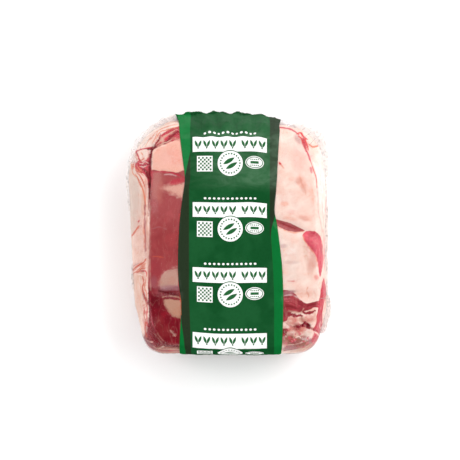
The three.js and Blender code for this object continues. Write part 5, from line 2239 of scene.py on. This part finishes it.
@dataclass
class PrintedBand:
    """The printed band: a strip of film laid over the bag from end to end."""

    left_edge: tuple = (  # pixels of the photograph
        (176.5, 96), (177.5, 114), (180, 138), (183, 162), (184.8, 180), (182.4, 198), (179.5, 222),
        (177.8, 258), (178.6, 282), (181, 306), (179.6, 342), (179, 376),
    )
    right_edge: tuple = (
        (280, 96), (279.6, 120), (279, 140), (277.8, 162), (276.5, 186), (274.6, 210), (276.7, 222),
        (280, 246), (282.4, 270), (283.4, 300), (282.8, 330), (281.6, 356), (281, 376),
    )
    top: float = 77.0
    lowest: float = 12.0
    columns: int = 96
    flank_rows: int = 44
    below_rows: int = 20
    pitch: float = 1.25
    lift: float = 0.6
    edge_lift: float = 0.5
    edge_share: float = 0.03  # of the width, over which the strip rises from its edge
    thickness: float = 0.22
    print_flat: float = 118.0  # how far towards the folded end the print is laid out as seen from above
    end_rows_off: int = 40  # rows at each end that the middle of the print is not looked for in
    search: tuple[float, float] = (30.0, 150.0)  # how far from the middle a row over an end may lie
    search_rounds: int = 34
    evenness: float = 0.25
    folded_from: tuple[float, float] = (-100.0, -124.0)
    sealed_from: tuple[float, float] = (104.0, 126.0)
    folded_gathers: float = 0.4
    sealed_gathers: float = 1.3

    def edge(self, stations: tuple, y: np.ndarray) -> np.ndarray:
        """Where an edge of the band runs at places along the pack, both as they are before the fit."""
        curve = FORM.unfitted(through(PHOTO.under(stations, self.top), 6))[::-1]
        return np.interp(y, curve[:, 1], curve[:, 0])

    def across(self, share: np.ndarray, y: np.ndarray) -> np.ndarray:
        """The place across the pack of a share of the band's width."""
        left = self.edge(self.left_edge, y)
        return left + (self.edge(self.right_edge, y) - left) * share

    def end_rows(self, share: np.ndarray, side: float, tilts: np.ndarray, upper: bool) -> Stations:
        """Stations of the band's rows over one end of the pack.

        Args:
            share: Shares of the band's width.
            side: 1 at the sealed end and -1 at the folded end.
            tilts: The fall of the flank for each row.
            upper: Whether the rows lie over the rim.

        Returns:
            The stations, a row for each tilt.
        """
        share, tilt = np.broadcast_arrays(share[None, :], tilts[:, None])
        low, high = (np.full(share.shape, limit) for limit in self.search)
        for _ in range(self.search_rounds):
            reach = 0.5 * (low + high)
            x = self.across(share, side * reach)
            turn = np.arctan2(side * reach, x)
            flat = FORM.flat.blend(turn) if upper else FORM.sole
            wanted = (flat + (1.0 - flat) * np.sin(tilt)) * FORM.rim_distance(turn)
            past = np.hypot(x, reach) > wanted
            high = np.where(past, reach, high)
            low = np.where(past, low, reach)
        return Stations(turn, np.ones(share.shape), tilt, np.full(share.shape, upper))

    def flat_rows(self, share: np.ndarray) -> Stations:
        """The stations of the rows over the flat upper face, for shares of the band's width.

        Args:
            share: The shares.

        Returns:
            The stations, a row for each step along the pack.
        """
        limits = []
        for side in (-1.0, 1.0):
            end = self.end_rows(share, side, np.zeros(1), True)
            span = FORM.rim_distance(end.turn) * FORM.flat.blend(end.turn)
            limits.append((span * np.sin(end.turn))[0])
        count = int((limits[1].mean() - limits[0].mean()) / self.pitch)
        y = limits[0] + (limits[1] - limits[0]) * np.linspace(0.0, 1.0, count, endpoint=False)[:, None]
        return FORM.stations_over(self.across(np.broadcast_to(share, y.shape), y), y)

    def rows(self) -> Stations:
        """The stations of the strip's rows from the folded end to the sealed end.

        Returns:
            The stations, a row for each row of the strip.
        """
        share = np.linspace(0.0, 1.0, self.columns + 1)
        lowest_tilt = math.acos(1.0 - self.lowest / FORM.rim_height)
        below = np.linspace(lowest_tilt, np.pi / 2, self.below_rows, endpoint=False)
        flank = np.linspace(np.pi / 2, 0.0, self.flank_rows, endpoint=False)
        parts = (
            self.end_rows(share, -1.0, below, False),
            self.end_rows(share, -1.0, flank, True),
            self.flat_rows(share),
            self.end_rows(share, 1.0, flank[::-1] - flank[-1], True),
            self.end_rows(share, 1.0, below[::-1], False),
        )
        names = [f.name for f in fields(Stations)]
        return Stations(*(np.concatenate([getattr(part, name) for part in parts]) for name in names))

    def wrinkles(self, places: np.ndarray) -> np.ndarray:
        """Creases of the film under the print: gathers at the ends and soft waves between.

        Args:
            places: Places on the strip, one a row.

        Returns:
            How high they stand, which may be below 0.
        """
        x, y, _ = places.T
        ends = self.folded_gathers * smooth_step(*self.folded_from, y)
        ends = ends + self.sealed_gathers * smooth_step(*self.sealed_from, y)
        gathers = ridge_noise(x / 8.0, y / 40.0, places[:, 2] / 60.0, 2.2)
        gathers = gathers + 0.6 * ridge_noise(x / 4.5, y / 9.0 + x / 30.0, 0.5, 2.5)
        waves = 0.3 * smooth_noise(x / 16.0, y / 11.0, 2.5)
        waves = waves + 0.16 * ridge_noise(x / 30.0 + y / 40.0, y / 9.0, 4.5, 5.0)
        return self.evenness + waves + ends * gathers

    def print_run(self, rows: np.ndarray, at: Stations) -> np.ndarray:
        """How far along the flat print each row lies, from the middle of the pack.

        Args:
            rows: The rows' places.
            at: Their stations.

        Returns:
            The place of each row along the print in millimetres.
        """
        middle = rows[:, self.columns // 2]
        steps = np.linalg.norm(np.diff(middle, axis=0), axis=1)
        as_seen = (middle[1:, 1] > -self.print_flat) & at.upper[1:, 0]
        steps = np.where(as_seen, np.diff(middle[:, 1]), steps)
        run = np.concatenate([[0.0], np.cumsum(steps)])
        inner = slice(self.end_rows_off, -self.end_rows_off)
        return run - np.interp(0.0, middle[inner, 1], run[inner])

    def build(self, finish: bpy.types.Material) -> bpy.types.Object:
        """Builds the strip with its print chart.

        Args:
            finish: The band's material.

        Returns:
            The strip, whose thickness is a modifier.
        """
        at = self.rows()
        rows = FORM.place(at)
        count = len(rows)
        quads = grid_quads(count, self.columns + 1)
        outward = vertex_normals(rows.reshape(-1, 3), quads)
        rows = rows + FORM.tent(at, rows, outward.reshape(rows.shape))
        places = rows.reshape(-1, 3)
        normals = vertex_normals(places, quads)
        share = np.tile(np.linspace(0.0, 1.0, self.columns + 1), count)
        inner = smooth_step(0.0, self.edge_share, np.minimum(share, 1.0 - share))
        rise = self.lift - self.edge_lift + np.maximum(self.wrinkles(places), 0.0)
        lift = self.edge_lift + rise * inner
        strip = make_piece("printed_band_film", places + normals * lift[:, None], quads)
        run = np.repeat(self.print_run(rows, at), self.columns + 1)
        lay_chart(strip, np.column_stack([places[:, 0], run]) * MILLIMETRE)
        wall = strip.modifiers.new(WALL, "SOLIDIFY")
        wall.thickness = self.thickness * MILLIMETRE
        wall.offset = -1.0
        enlist(strip, finish, Slot.PRINT, "printed_band")
        return strip


class FlatPrint:
    """Flat shapes on the band's print chart, collected into one mesh."""

    ring_pitch: float = 0.9  # between the rings of a disc
    hole: float = 0.02  # half size of the hole that closes a disc

    def __init__(self) -> None:
        """Starts with no shapes."""
        self.places: list[np.ndarray] = []
        self.faces: list[np.ndarray] = []

    def add(self, places: np.ndarray, faces: np.ndarray) -> None:
        """Adds a shape's places and faces.

        Args:
            places: Its places on the chart.
            faces: Its faces, by its own vertex numbers.
        """
        start = sum(len(p) for p in self.places)
        self.places.append(places)
        self.faces.append(faces + start)

    def box(self, x: float, y: float, width: float, height: float, pitch: float = 0.8) -> None:
        """Adds a rectangle round a middle, in faces of about a pitch.

        Args:
            x: Where its middle lies across the label.
            y: Where it lies along it.
            width: Its width.
            height: Its height.
            pitch: The size of its faces.
        """
        columns = max(int(width / pitch), 1) + 1
        rows = max(int(height / pitch), 1) + 1
        across, along = np.meshgrid(np.linspace(-0.5, 0.5, columns), np.linspace(-0.5, 0.5, rows))
        places = np.column_stack([x + width * across.ravel(), y + height * along.ravel()])
        self.add(places, grid_quads(rows, columns))

    def arc(self, x: float, y: float, radius: float, width: float, half_turn: float) -> None:
        """Adds a thin arc over a middle, half_turn degrees to either side of straight up.

        Args:
            x: Where its middle lies across the label.
            y: Where it lies along it.
            radius: Its inner radius.
            width: How wide its line is.
            half_turn: How far it goes to either side, in degrees.
        """
        turn = np.radians(90.0 + np.linspace(half_turn, -half_turn, 25))
        rims = (radius, radius + width)
        rows = [np.column_stack([x + rim * np.cos(turn), y + rim * np.sin(turn)]) for rim in rims]
        self.add(np.vstack(rows), grid_quads(2, len(turn)))

    def ring(self, x: float, y: float, inner: Sequence[float], outer: Sequence[float], sides: int) -> None:
        """Adds an oval ring between two pairs of half sizes.

        Args:
            x: Where its middle lies across the label.
            y: Where it lies along it.
            inner: The half sizes of its hole, across and along.
            outer: The half sizes of its rim.
            sides: How many corners it has.
        """
        rows = max(int((outer[0] - inner[0]) / self.ring_pitch), 1) + 1
        turn = np.linspace(0.0, 2.0 * np.pi, sides, endpoint=False)
        t = np.linspace(0.0, 1.0, rows)[:, None]
        across = (inner[0] + (outer[0] - inner[0]) * t) * np.cos(turn)
        along = (inner[1] + (outer[1] - inner[1]) * t) * np.sin(turn)
        places = np.column_stack([x + across.ravel(), y + along.ravel()])
        self.add(places, grid_quads(rows, sides, closed=True)[:, ::-1])

    def disc(self, x: float, y: float, half: Sequence[float], sides: int) -> None:
        """Adds a round or oval disc with a pair of half sizes."""
        self.ring(x, y, (self.hole, self.hole), half, sides)

    def leaf(self, x: float, y: float, length: float, width: float, turn: float) -> None:
        """Adds a leaf: two arcs that meet in points.

        Args:
            x: Where its middle lies across the label.
            y: Where it lies along it.
            length: Its length.
            width: Its greatest width.
            turn: How far it is turned, in degrees.
        """
        t = np.linspace(-1.0, 1.0, 13)
        half = 0.5 * width * (1.0 - t * t)
        along = 0.5 * length * t
        c = math.cos(math.radians(turn))
        s = math.sin(math.radians(turn))
        rows = [
            np.column_stack([x + along * c - side * half * s, y + along * s + side * half * c])
            for side in (-1.0, 0.0, 1.0)
        ]
        self.add(np.vstack(rows), grid_quads(3, len(t)))

    def sheet(self, name: str) -> bpy.types.Object:
        """The collected shapes as one flat mesh on the chart."""
        flat = np.vstack(self.places)
        return make_piece(name, np.column_stack([flat, np.zeros(len(flat))]), np.vstack(self.faces))


@dataclass(frozen=True)
class LabelPrint:
    """The labels that repeat along the band: white fields with plain green shapes on them.

    Places are those of a shape's middle on the label (across, along) in millimetres.
    """

    first: float = 97.0
    pitch: float = 71.6
    shift: float = 0.9  # of every label across the band
    count: int = 4
    white_lift: float = 0.12
    green_lift: float = 0.2
    bar_at: tuple[float, float] = (1.3, 0.0)
    bar_size: tuple[float, float] = (80.8, 16.2)
    mark_at: tuple[float, float] = (-25.5, 12.5)  # the first of the small marks over the bar
    mark_half: tuple[float, float] = (1.45, 1.2)
    mark_pitch: float = 4.95
    marks: int = 12
    square_at: tuple[float, float] = (-25.9, -21.3)
    square_side: float = 17.0
    disc_at: tuple[float, float] = (1.8, -20.8)
    disc_half: tuple[float, float] = (13.7, 13.7)
    oval_at: tuple[float, float] = (28.4, -20.0)
    oval_half: tuple[float, float] = (10.1, 6.9)
    sprout_at: float = -33.2  # the first of the sprouts on the bar
    sprout_pitch: float = 9.4
    sprout_gap: float = 4.0  # besides, after the fifth
    sprouts: int = 8
    check_pitch: float = 2.1
    check_side: float = 2.0
    check_cells: int = 7
    dot_circle: float = 10.6
    dot_half: tuple[float, float] = (0.95, 0.95)
    dots: int = 22
    oval_ring: tuple[tuple[float, float], tuple[float, float]] = ((8.3, 5.3), (9.2, 6.1))
    stitch_pitch: float = 2.0
    stitch_rise: float = 3.2
    stitch_half: tuple[float, float] = (0.7, 0.7)

    def white(self) -> bpy.types.Object:
        """The white fields of one label: a row of dots, a long field, a square, a disc and an oval.

        Returns:
            The fields as one flat piece.
        """
        flat = FlatPrint()
        flat.box(*self.bar_at, *self.bar_size)
        x, y = self.mark_at
        for n in range(self.marks):
            flat.disc(x + self.mark_pitch * n, y, self.mark_half, 12)
        flat.box(*self.square_at, self.square_side, self.square_side)
        flat.disc(*self.disc_at, self.disc_half, 56)
        flat.disc(*self.oval_at, self.oval_half, 44)
        return flat.sheet("white_flat")

    def add_sprouts(self, flat: FlatPrint) -> None:
        """Adds the sprouts on the long field: two leaves that lean apart from a dot.

        Args:
            flat: The print that takes them.
        """
        for n in range(self.sprouts):
            x = self.sprout_at + self.sprout_pitch * n + (self.sprout_gap if n > 4 else 0.0)
            flat.disc(x, -4.0, (0.9, 0.9), 10)
            for side in (-1.0, 1.0):
                flat.leaf(x + side * 1.9, 0.6, 8.6, 2.7, 90.0 - side * 22.0)

    def add_check(self, flat: FlatPrint) -> None:
        """Adds the fine check on the square.

        Args:
            flat: The print that takes them.
        """
        x, y = self.square_at
        middle = self.check_cells // 2
        for i in range(-middle, middle + 1):
            for j in range(-middle, middle + 1):
                if (i + j) % 2 == 0:
                    place = (x + self.check_pitch * i, y + self.check_pitch * j)
                    flat.box(*place, self.check_side, self.check_side)

    def add_emblem(self, flat: FlatPrint) -> None:
        """Adds the disc's ring of dots, two leaves, and the arc over it.

        Args:
            flat: The print that takes them.
        """
        x, y = self.disc_at
        for n in range(self.dots):
            turn = 2.0 * math.pi * n / self.dots
            place = (x + self.dot_circle * math.cos(turn), y + self.dot_circle * math.sin(turn))
            flat.disc(*place, self.dot_half, 8)
        for side in (-1.0, 1.0):
            flat.leaf(x - side * 1.5, y + side * 2.6, 14.6, 4.4, 30.0)
        flat.arc(x, y, 13.6, 0.9, 30.0)

    def add_oval(self, flat: FlatPrint) -> None:
        """Adds the oval's ring, bar and two rows of dots.

        Args:
            flat: The print that takes them.
        """
        x, y = self.oval_at
        flat.ring(x, y, *self.oval_ring, 44)
        flat.box(x, y, 9.0, 2.8)
        for n in range(-2, 3):
            for side in (-1.0, 1.0):
                flat.disc(x + self.stitch_pitch * n, y + side * self.stitch_rise, self.stitch_half, 8)

    def green(self) -> bpy.types.Object:
        """The green shapes on the white fields.

        Returns:
            The shapes as one flat piece.
        """
        flat = FlatPrint()
        for add in (self.add_sprouts, self.add_check, self.add_emblem, self.add_oval):
            add(flat)
        return flat.sheet("green_flat")

    def wrapping(self, ink: bpy.types.Material) -> bpy.types.NodeTree:
        """The node tree that repeats a flat label along the band and lays it onto the band's surface.

        Args:
            ink: The shapes' material.

        Returns:
            The tree, with its sizes as named inputs.
        """
        sizes = {"Band": "Object", "Count": "Int", "Shift": "Float", "First": "Float", "Pitch": "Float"}
        g = Graph.shape_group("wrap_label", {**sizes, "Lift": "Float"})
        given = g.node("NodeGroupInput").outputs
        band = g.node("GeometryNodeObjectInfo", {"Object": given["Band"]}).outputs["Geometry"]
        start = g.node("ShaderNodeCombineXYZ", {"X": given["Shift"], "Y": given["First"]})
        step = g.node("ShaderNodeCombineXYZ", {"Y": given["Pitch"]})
        row = {"Count": given["Count"], "Start Location": start, "Offset": step}
        line = g.node("GeometryNodeMeshLine", row)
        copies = g.node("GeometryNodeInstanceOnPoints", {"Points": line, "Instance": given["Geometry"]})
        real = g.node("GeometryNodeRealizeInstances", {0: copies})
        as_vector = {"data_type": "FLOAT_VECTOR"}
        chart = g.node("GeometryNodeInputNamedAttribute", {"Name": PRINT_CHART}, as_vector)
        spot = g.node("GeometryNodeInputPosition")
        on_print = {"Source UV Map": chart.outputs["Attribute"], "Sample UV": spot}
        place, normal = (
            g.node(
                "GeometryNodeSampleUVSurface",
                {"Mesh": band, "Value": g.node(kind), **on_print},
                as_vector,
            ).outputs["Value"]
            for kind in ("GeometryNodeInputPosition", "GeometryNodeInputNormal")
        )
        raised = g.node("ShaderNodeVectorMath", {0: normal, "Scale": given["Lift"]}, {"operation": "SCALE"})
        laid = g.node("ShaderNodeVectorMath", {0: place, 1: raised})
        moved = g.node("GeometryNodeSetPosition", {"Geometry": real, "Position": laid})
        return g.coated(moved, ink)

    def lay(self, flat: bpy.types.Object, name: str, band: bpy.types.Object, lift: float, ink: Ink) -> None:
        """Repeats a flat sheet along the band as a piece of its own.

        Args:
            flat: The sheet.
            name: The piece's name.
            band: The band.
            lift: How far the piece lies off the band, in millimetres.
            ink: Its ink.
        """
        finish = ink.material()
        sizes = {
            "Band": band,
            "Count": self.count,
            "Shift": self.shift * MILLIMETRE,
            "First": self.first * MILLIMETRE,
            "Pitch": -self.pitch * MILLIMETRE,
            "Lift": lift * MILLIMETRE,
        }
        enlist(grown(flat, self.wrapping(finish), sizes, name), finish, Slot.PRINT)

    def build(self, band: bpy.types.Object) -> None:
        """Lays the white fields and the green shapes onto the band.

        Args:
            band: The band.
        """
        wall = band.modifiers[WALL]
        wall.show_viewport = False
        self.lay(self.white(), "label_fields", band, self.white_lift, Ink("ink_white", Tone.INK_WHITE, 1.2))
        self.lay(self.green(), "label_shapes", band, self.green_lift, Ink("ink_green", Tone.INK_GREEN))
        wall.show_viewport = True


def grown(base: bpy.types.Object, tree: bpy.types.NodeTree, sizes: dict, name: str) -> bpy.types.Object:
    """Runs a Geometry Nodes tree on a base and keeps the result as a plain mesh.

    Args:
        base: The object that the tree works on, which is removed.
        tree: The tree.
        sizes: Its inputs by name.
        name: The name of the new piece.

    Returns:
        The new object.
    """
    growth = base.modifiers.new("growth", "NODES")
    growth.node_group = tree
    for item in tree.interface.items_tree:
        if item.in_out == "INPUT" and item.name in sizes:
            growth[item.identifier] = sizes[item.name]
    graph = bpy.context.evaluated_depsgraph_get()
    mesh = bpy.data.meshes.new_from_object(base.evaluated_get(graph))
    bpy.data.objects.remove(base)
    mesh.name = name
    mesh.shade_smooth()
    return linked(name, mesh)


class SurfaceStrands:
    """Thin round strands that lie on a piece along lines of the photograph, grown by Geometry Nodes."""

    step: float = 0.8  # between the points of a strand, in millimetres
    sides: int = 8
    end_share: float = 0.2  # of its girth that a strand keeps at its ends
    unevenness: float = 0.3
    unevenness_size: float = 3.0
    least_sunk: float = 0.6  # of its radius

    def __init__(self, ground: bpy.types.Object) -> None:
        """Starts with no strands on a piece.

        Args:
            ground: The piece.
        """
        places = [vertex.co for vertex in ground.data.vertices]
        self.surface = BVHTree.FromPolygons(places, [tuple(face.vertices) for face in ground.data.polygons])
        self.places: list[np.ndarray] = []
        self.edges: list[list[int]] = []
        self.girths: list[float] = []
        self.tints: list[np.ndarray] = []

    def landing(self, place: np.ndarray) -> tuple[np.ndarray, np.ndarray] | None:
        """Where the line of sight through a place at the sharp height meets the piece.

        Args:
            place: The place.

        Returns:
            The point and the piece's normal there, or None where the line misses.
        """
        eye = Vector((*PHOTO.eye, PHOTO.eye_height)) * MILLIMETRE
        way = Vector((*place, PHOTO.sharp_height)) * MILLIMETRE - eye
        hit, normal, _, _ = self.surface.ray_cast(eye, way)
        return None if hit is None else (np.array(hit) / MILLIMETRE, np.array(normal))

    def add(self, points: tuple, half: float, proud: float, tone: Tone) -> None:
        """Adds a strand.

        Args:
            points: The pixels that it runs through.
            half: Its half width in millimetres.
            proud: How far it may stand out from the piece.
            tone: Its colour.
        """
        curve = through(PHOTO.place(points), 8)
        run = np.concatenate([[0.0], np.cumsum(np.linalg.norm(np.diff(curve, axis=0), axis=1))])
        stops = np.linspace(0.0, run[-1], max(int(run[-1] / self.step), 4) + 1)
        path = np.column_stack([np.interp(stops, run, curve[:, axis]) for axis in range(2)])
        first = len(self.places)
        for n, place in enumerate(path):
            landed = self.landing(place)
            if landed is None:
                continue
            share = n / (len(path) - 1)
            arch = math.sin(math.pi * share) ** 0.5
            uneven = 1.0 + self.unevenness * float(smooth_noise(*place / self.unevenness_size, half))
            radius = half * uneven * (self.end_share + (1.0 - self.end_share) * arch)
            sunk = max(self.least_sunk * radius, radius - proud)
            self.places.append(landed[0] - landed[1] * sunk)
            self.girths.append(radius * MILLIMETRE)
            self.tints.append(tone.linear())
        self.edges += [[n, n + 1] for n in range(first, len(self.places) - 1)]

    @staticmethod
    def growth(finish: bpy.types.Material) -> bpy.types.NodeTree:
        """The node tree that turns lines into tubes as thick as their stored girth.

        Args:
            finish: The strands' material.

        Returns:
            The tree, whose input is the number of sides.
        """
        g = Graph.shape_group("grow_strands", {"Sides": "Int"})
        given = g.node("NodeGroupInput").outputs
        lines = g.node("GeometryNodeMeshToCurve", {"Mesh": given["Geometry"]})
        girth = g.node("GeometryNodeInputNamedAttribute", {"Name": "girth"}).outputs["Attribute"]
        sized = g.node("GeometryNodeSetCurveRadius", {"Curve": lines, "Radius": girth})
        circle = g.node("GeometryNodeCurvePrimitiveCircle", {"Radius": 1.0, "Resolution": given["Sides"]})
        profile = {"Curve": sized, "Profile Curve": circle, "Fill Caps": True}
        tubes = g.node("GeometryNodeCurveToMesh", profile)
        if "Scale" in tubes.inputs:
            g.tree.links.new(girth, tubes.inputs["Scale"])
        return g.coated(g.node("GeometryNodeRealizeInstances", {0: tubes}), finish)

    def build(self, name: str, finish: bpy.types.Material, values: dict[str, float]) -> None:
        """Grows the strands as one piece.

        Args:
            name: The piece's name.
            finish: Its material.
            values: Numbers to store on it by name, which its material reads.
        """
        base = make_piece("strand_lines", np.array(self.places), [], self.edges)
        paint(base, "girth", np.array(self.girths))
        paint(base, "fat_tint", np.array(self.tints))
        for key, value in values.items():
            paint(base, key, np.full(len(self.places), value))
        piece = grown(base, self.growth(finish), {"Sides": self.sides}, name)
        face_outwards(piece)
        enlist(piece, finish, Slot.MEAT)


# ---------------------------------------------------------------------------------------------------------
# Studio
# ---------------------------------------------------------------------------------------------------------


@dataclass(frozen=True)
class SoftPanel:
    """A soft light: where it stands, what it looks at, its size in metres and its power in watts."""

    name: str
    place: tuple[float, float, float]
    size: tuple[float, float]
    power: float
    target: tuple[float, float, float] = (0.0, 0.0, 0.04)


@dataclass(frozen=True)
class Studio:
    """A pale floor, soft lights, and a camera straight above the pack."""

    sensor: float = 36.0
    floor_half: float = 3000.0
    floor_tones: tuple[float, float] = (0.96, 0.98)
    speckle_size: float = 60.0
    sky_side: float = 0.97
    sky_top: float = 0.05
    sky_turn: float = 0.9  # how far up the sky has faded, as the height of a direction of length 1
    panels: tuple[SoftPanel, ...] = (
        SoftPanel("key", (0.9, 0.6, 1.1), (1.0, 1.0), 13.4),
        SoftPanel("left", (-1.15, 0.1, 0.85), (1.0, 1.5), 12.2),
        SoftPanel("right", (1.2, -0.2, 0.8), (0.8, 1.3), 7.4),
        SoftPanel("foot", (0.1, -1.2, 0.85), (1.5, 0.8), 7.4),
        SoftPanel("head", (0.0, 1.2, 0.85), (1.4, 0.7), 8.5, (0.0, 0.0, 0.05)),
    )

    def floor(self) -> None:
        """Lays the pale floor."""
        r = Recipe("pale_floor")
        speckle = r.noise(r.place(), self.speckle_size, 2.0)
        shade = r.blend(*((tone, tone, tone, 1.0) for tone in self.floor_tones), speckle)
        corners = [[x, y, 0.0] for x, y in ((-1, -1), (1, -1), (1, 1), (-1, 1))]
        floor = make_piece("floor", np.array(corners) * self.floor_half, [[0, 1, 2, 3]])
        floor.data.materials.append(r.finish(r.principled({"Base Color": shade, "Roughness": 0.9})))

    def light(self, panel: SoftPanel) -> None:
        """Sets up one soft light.

        Args:
            panel: The light.
        """
        lamp = bpy.data.lights.new(panel.name, "AREA")
        lamp.shape = "RECTANGLE"
        lamp.size, lamp.size_y = panel.size
        lamp.energy = panel.power
        stand = linked(panel.name, lamp)
        stand.location = panel.place
        look = Vector(panel.target) - Vector(panel.place)
        stand.rotation_euler = look.to_track_quat("-Z", "Y").to_euler()

    def camera(self) -> None:
        """Hangs the camera over the pack, so that a pixel spans what it does in the photograph."""
        view = bpy.data.cameras.new("overhead")
        view.sensor_width = self.sensor
        view.lens = self.sensor * (PHOTO.eye_height - PHOTO.sharp_height) / (PHOTO.width * PHOTO.pitch)
        eye = linked("overhead", view)
        eye.location = Vector((*PHOTO.eye, PHOTO.eye_height)) * MILLIMETRE
        bpy.context.scene.camera = eye

    def sky(self) -> bpy.types.World:
        """The white light from all sides, which fades towards straight up.

        Returns:
            The world.
        """
        world = bpy.data.worlds.new("studio")
        world.use_nodes = True
        g = Graph(world.node_tree)
        way = g.node("ShaderNodeTexCoord").outputs["Generated"]
        height = g.node("ShaderNodeSeparateXYZ", {0: way}).outputs["Z"]
        ends = {"From Min": 0.0, "From Max": self.sky_turn, "To Min": self.sky_side, "To Max": self.sky_top}
        fade = g.node("ShaderNodeMapRange", {"Value": height, **ends})
        backdrop = g.tree.nodes["Background"]
        backdrop.inputs["Color"].default_value = WHITE
        g.tree.links.new(fade.outputs["Result"], backdrop.inputs["Strength"])
        return world

    def build(self) -> None:
        """Sets up the whole studio."""
        self.floor()
        for panel in self.panels:
            self.light(panel)
        self.camera()
        bpy.context.scene.world = self.sky()
        bpy.context.scene.view_settings.view_transform = "Standard"


def main() -> None:
    """Builds the pack's pieces and the studio."""
    logging.basicConfig(level=logging.INFO, format="%(name)s %(message)s")
    print_finish = BandPrint().material()
    FilledBag().build()
    FilmEars().build(print_finish)
    band = PrintedBand().build(print_finish)
    LabelPrint().build(band)
    Studio().build()


if __name__ == "__main__":
    main()
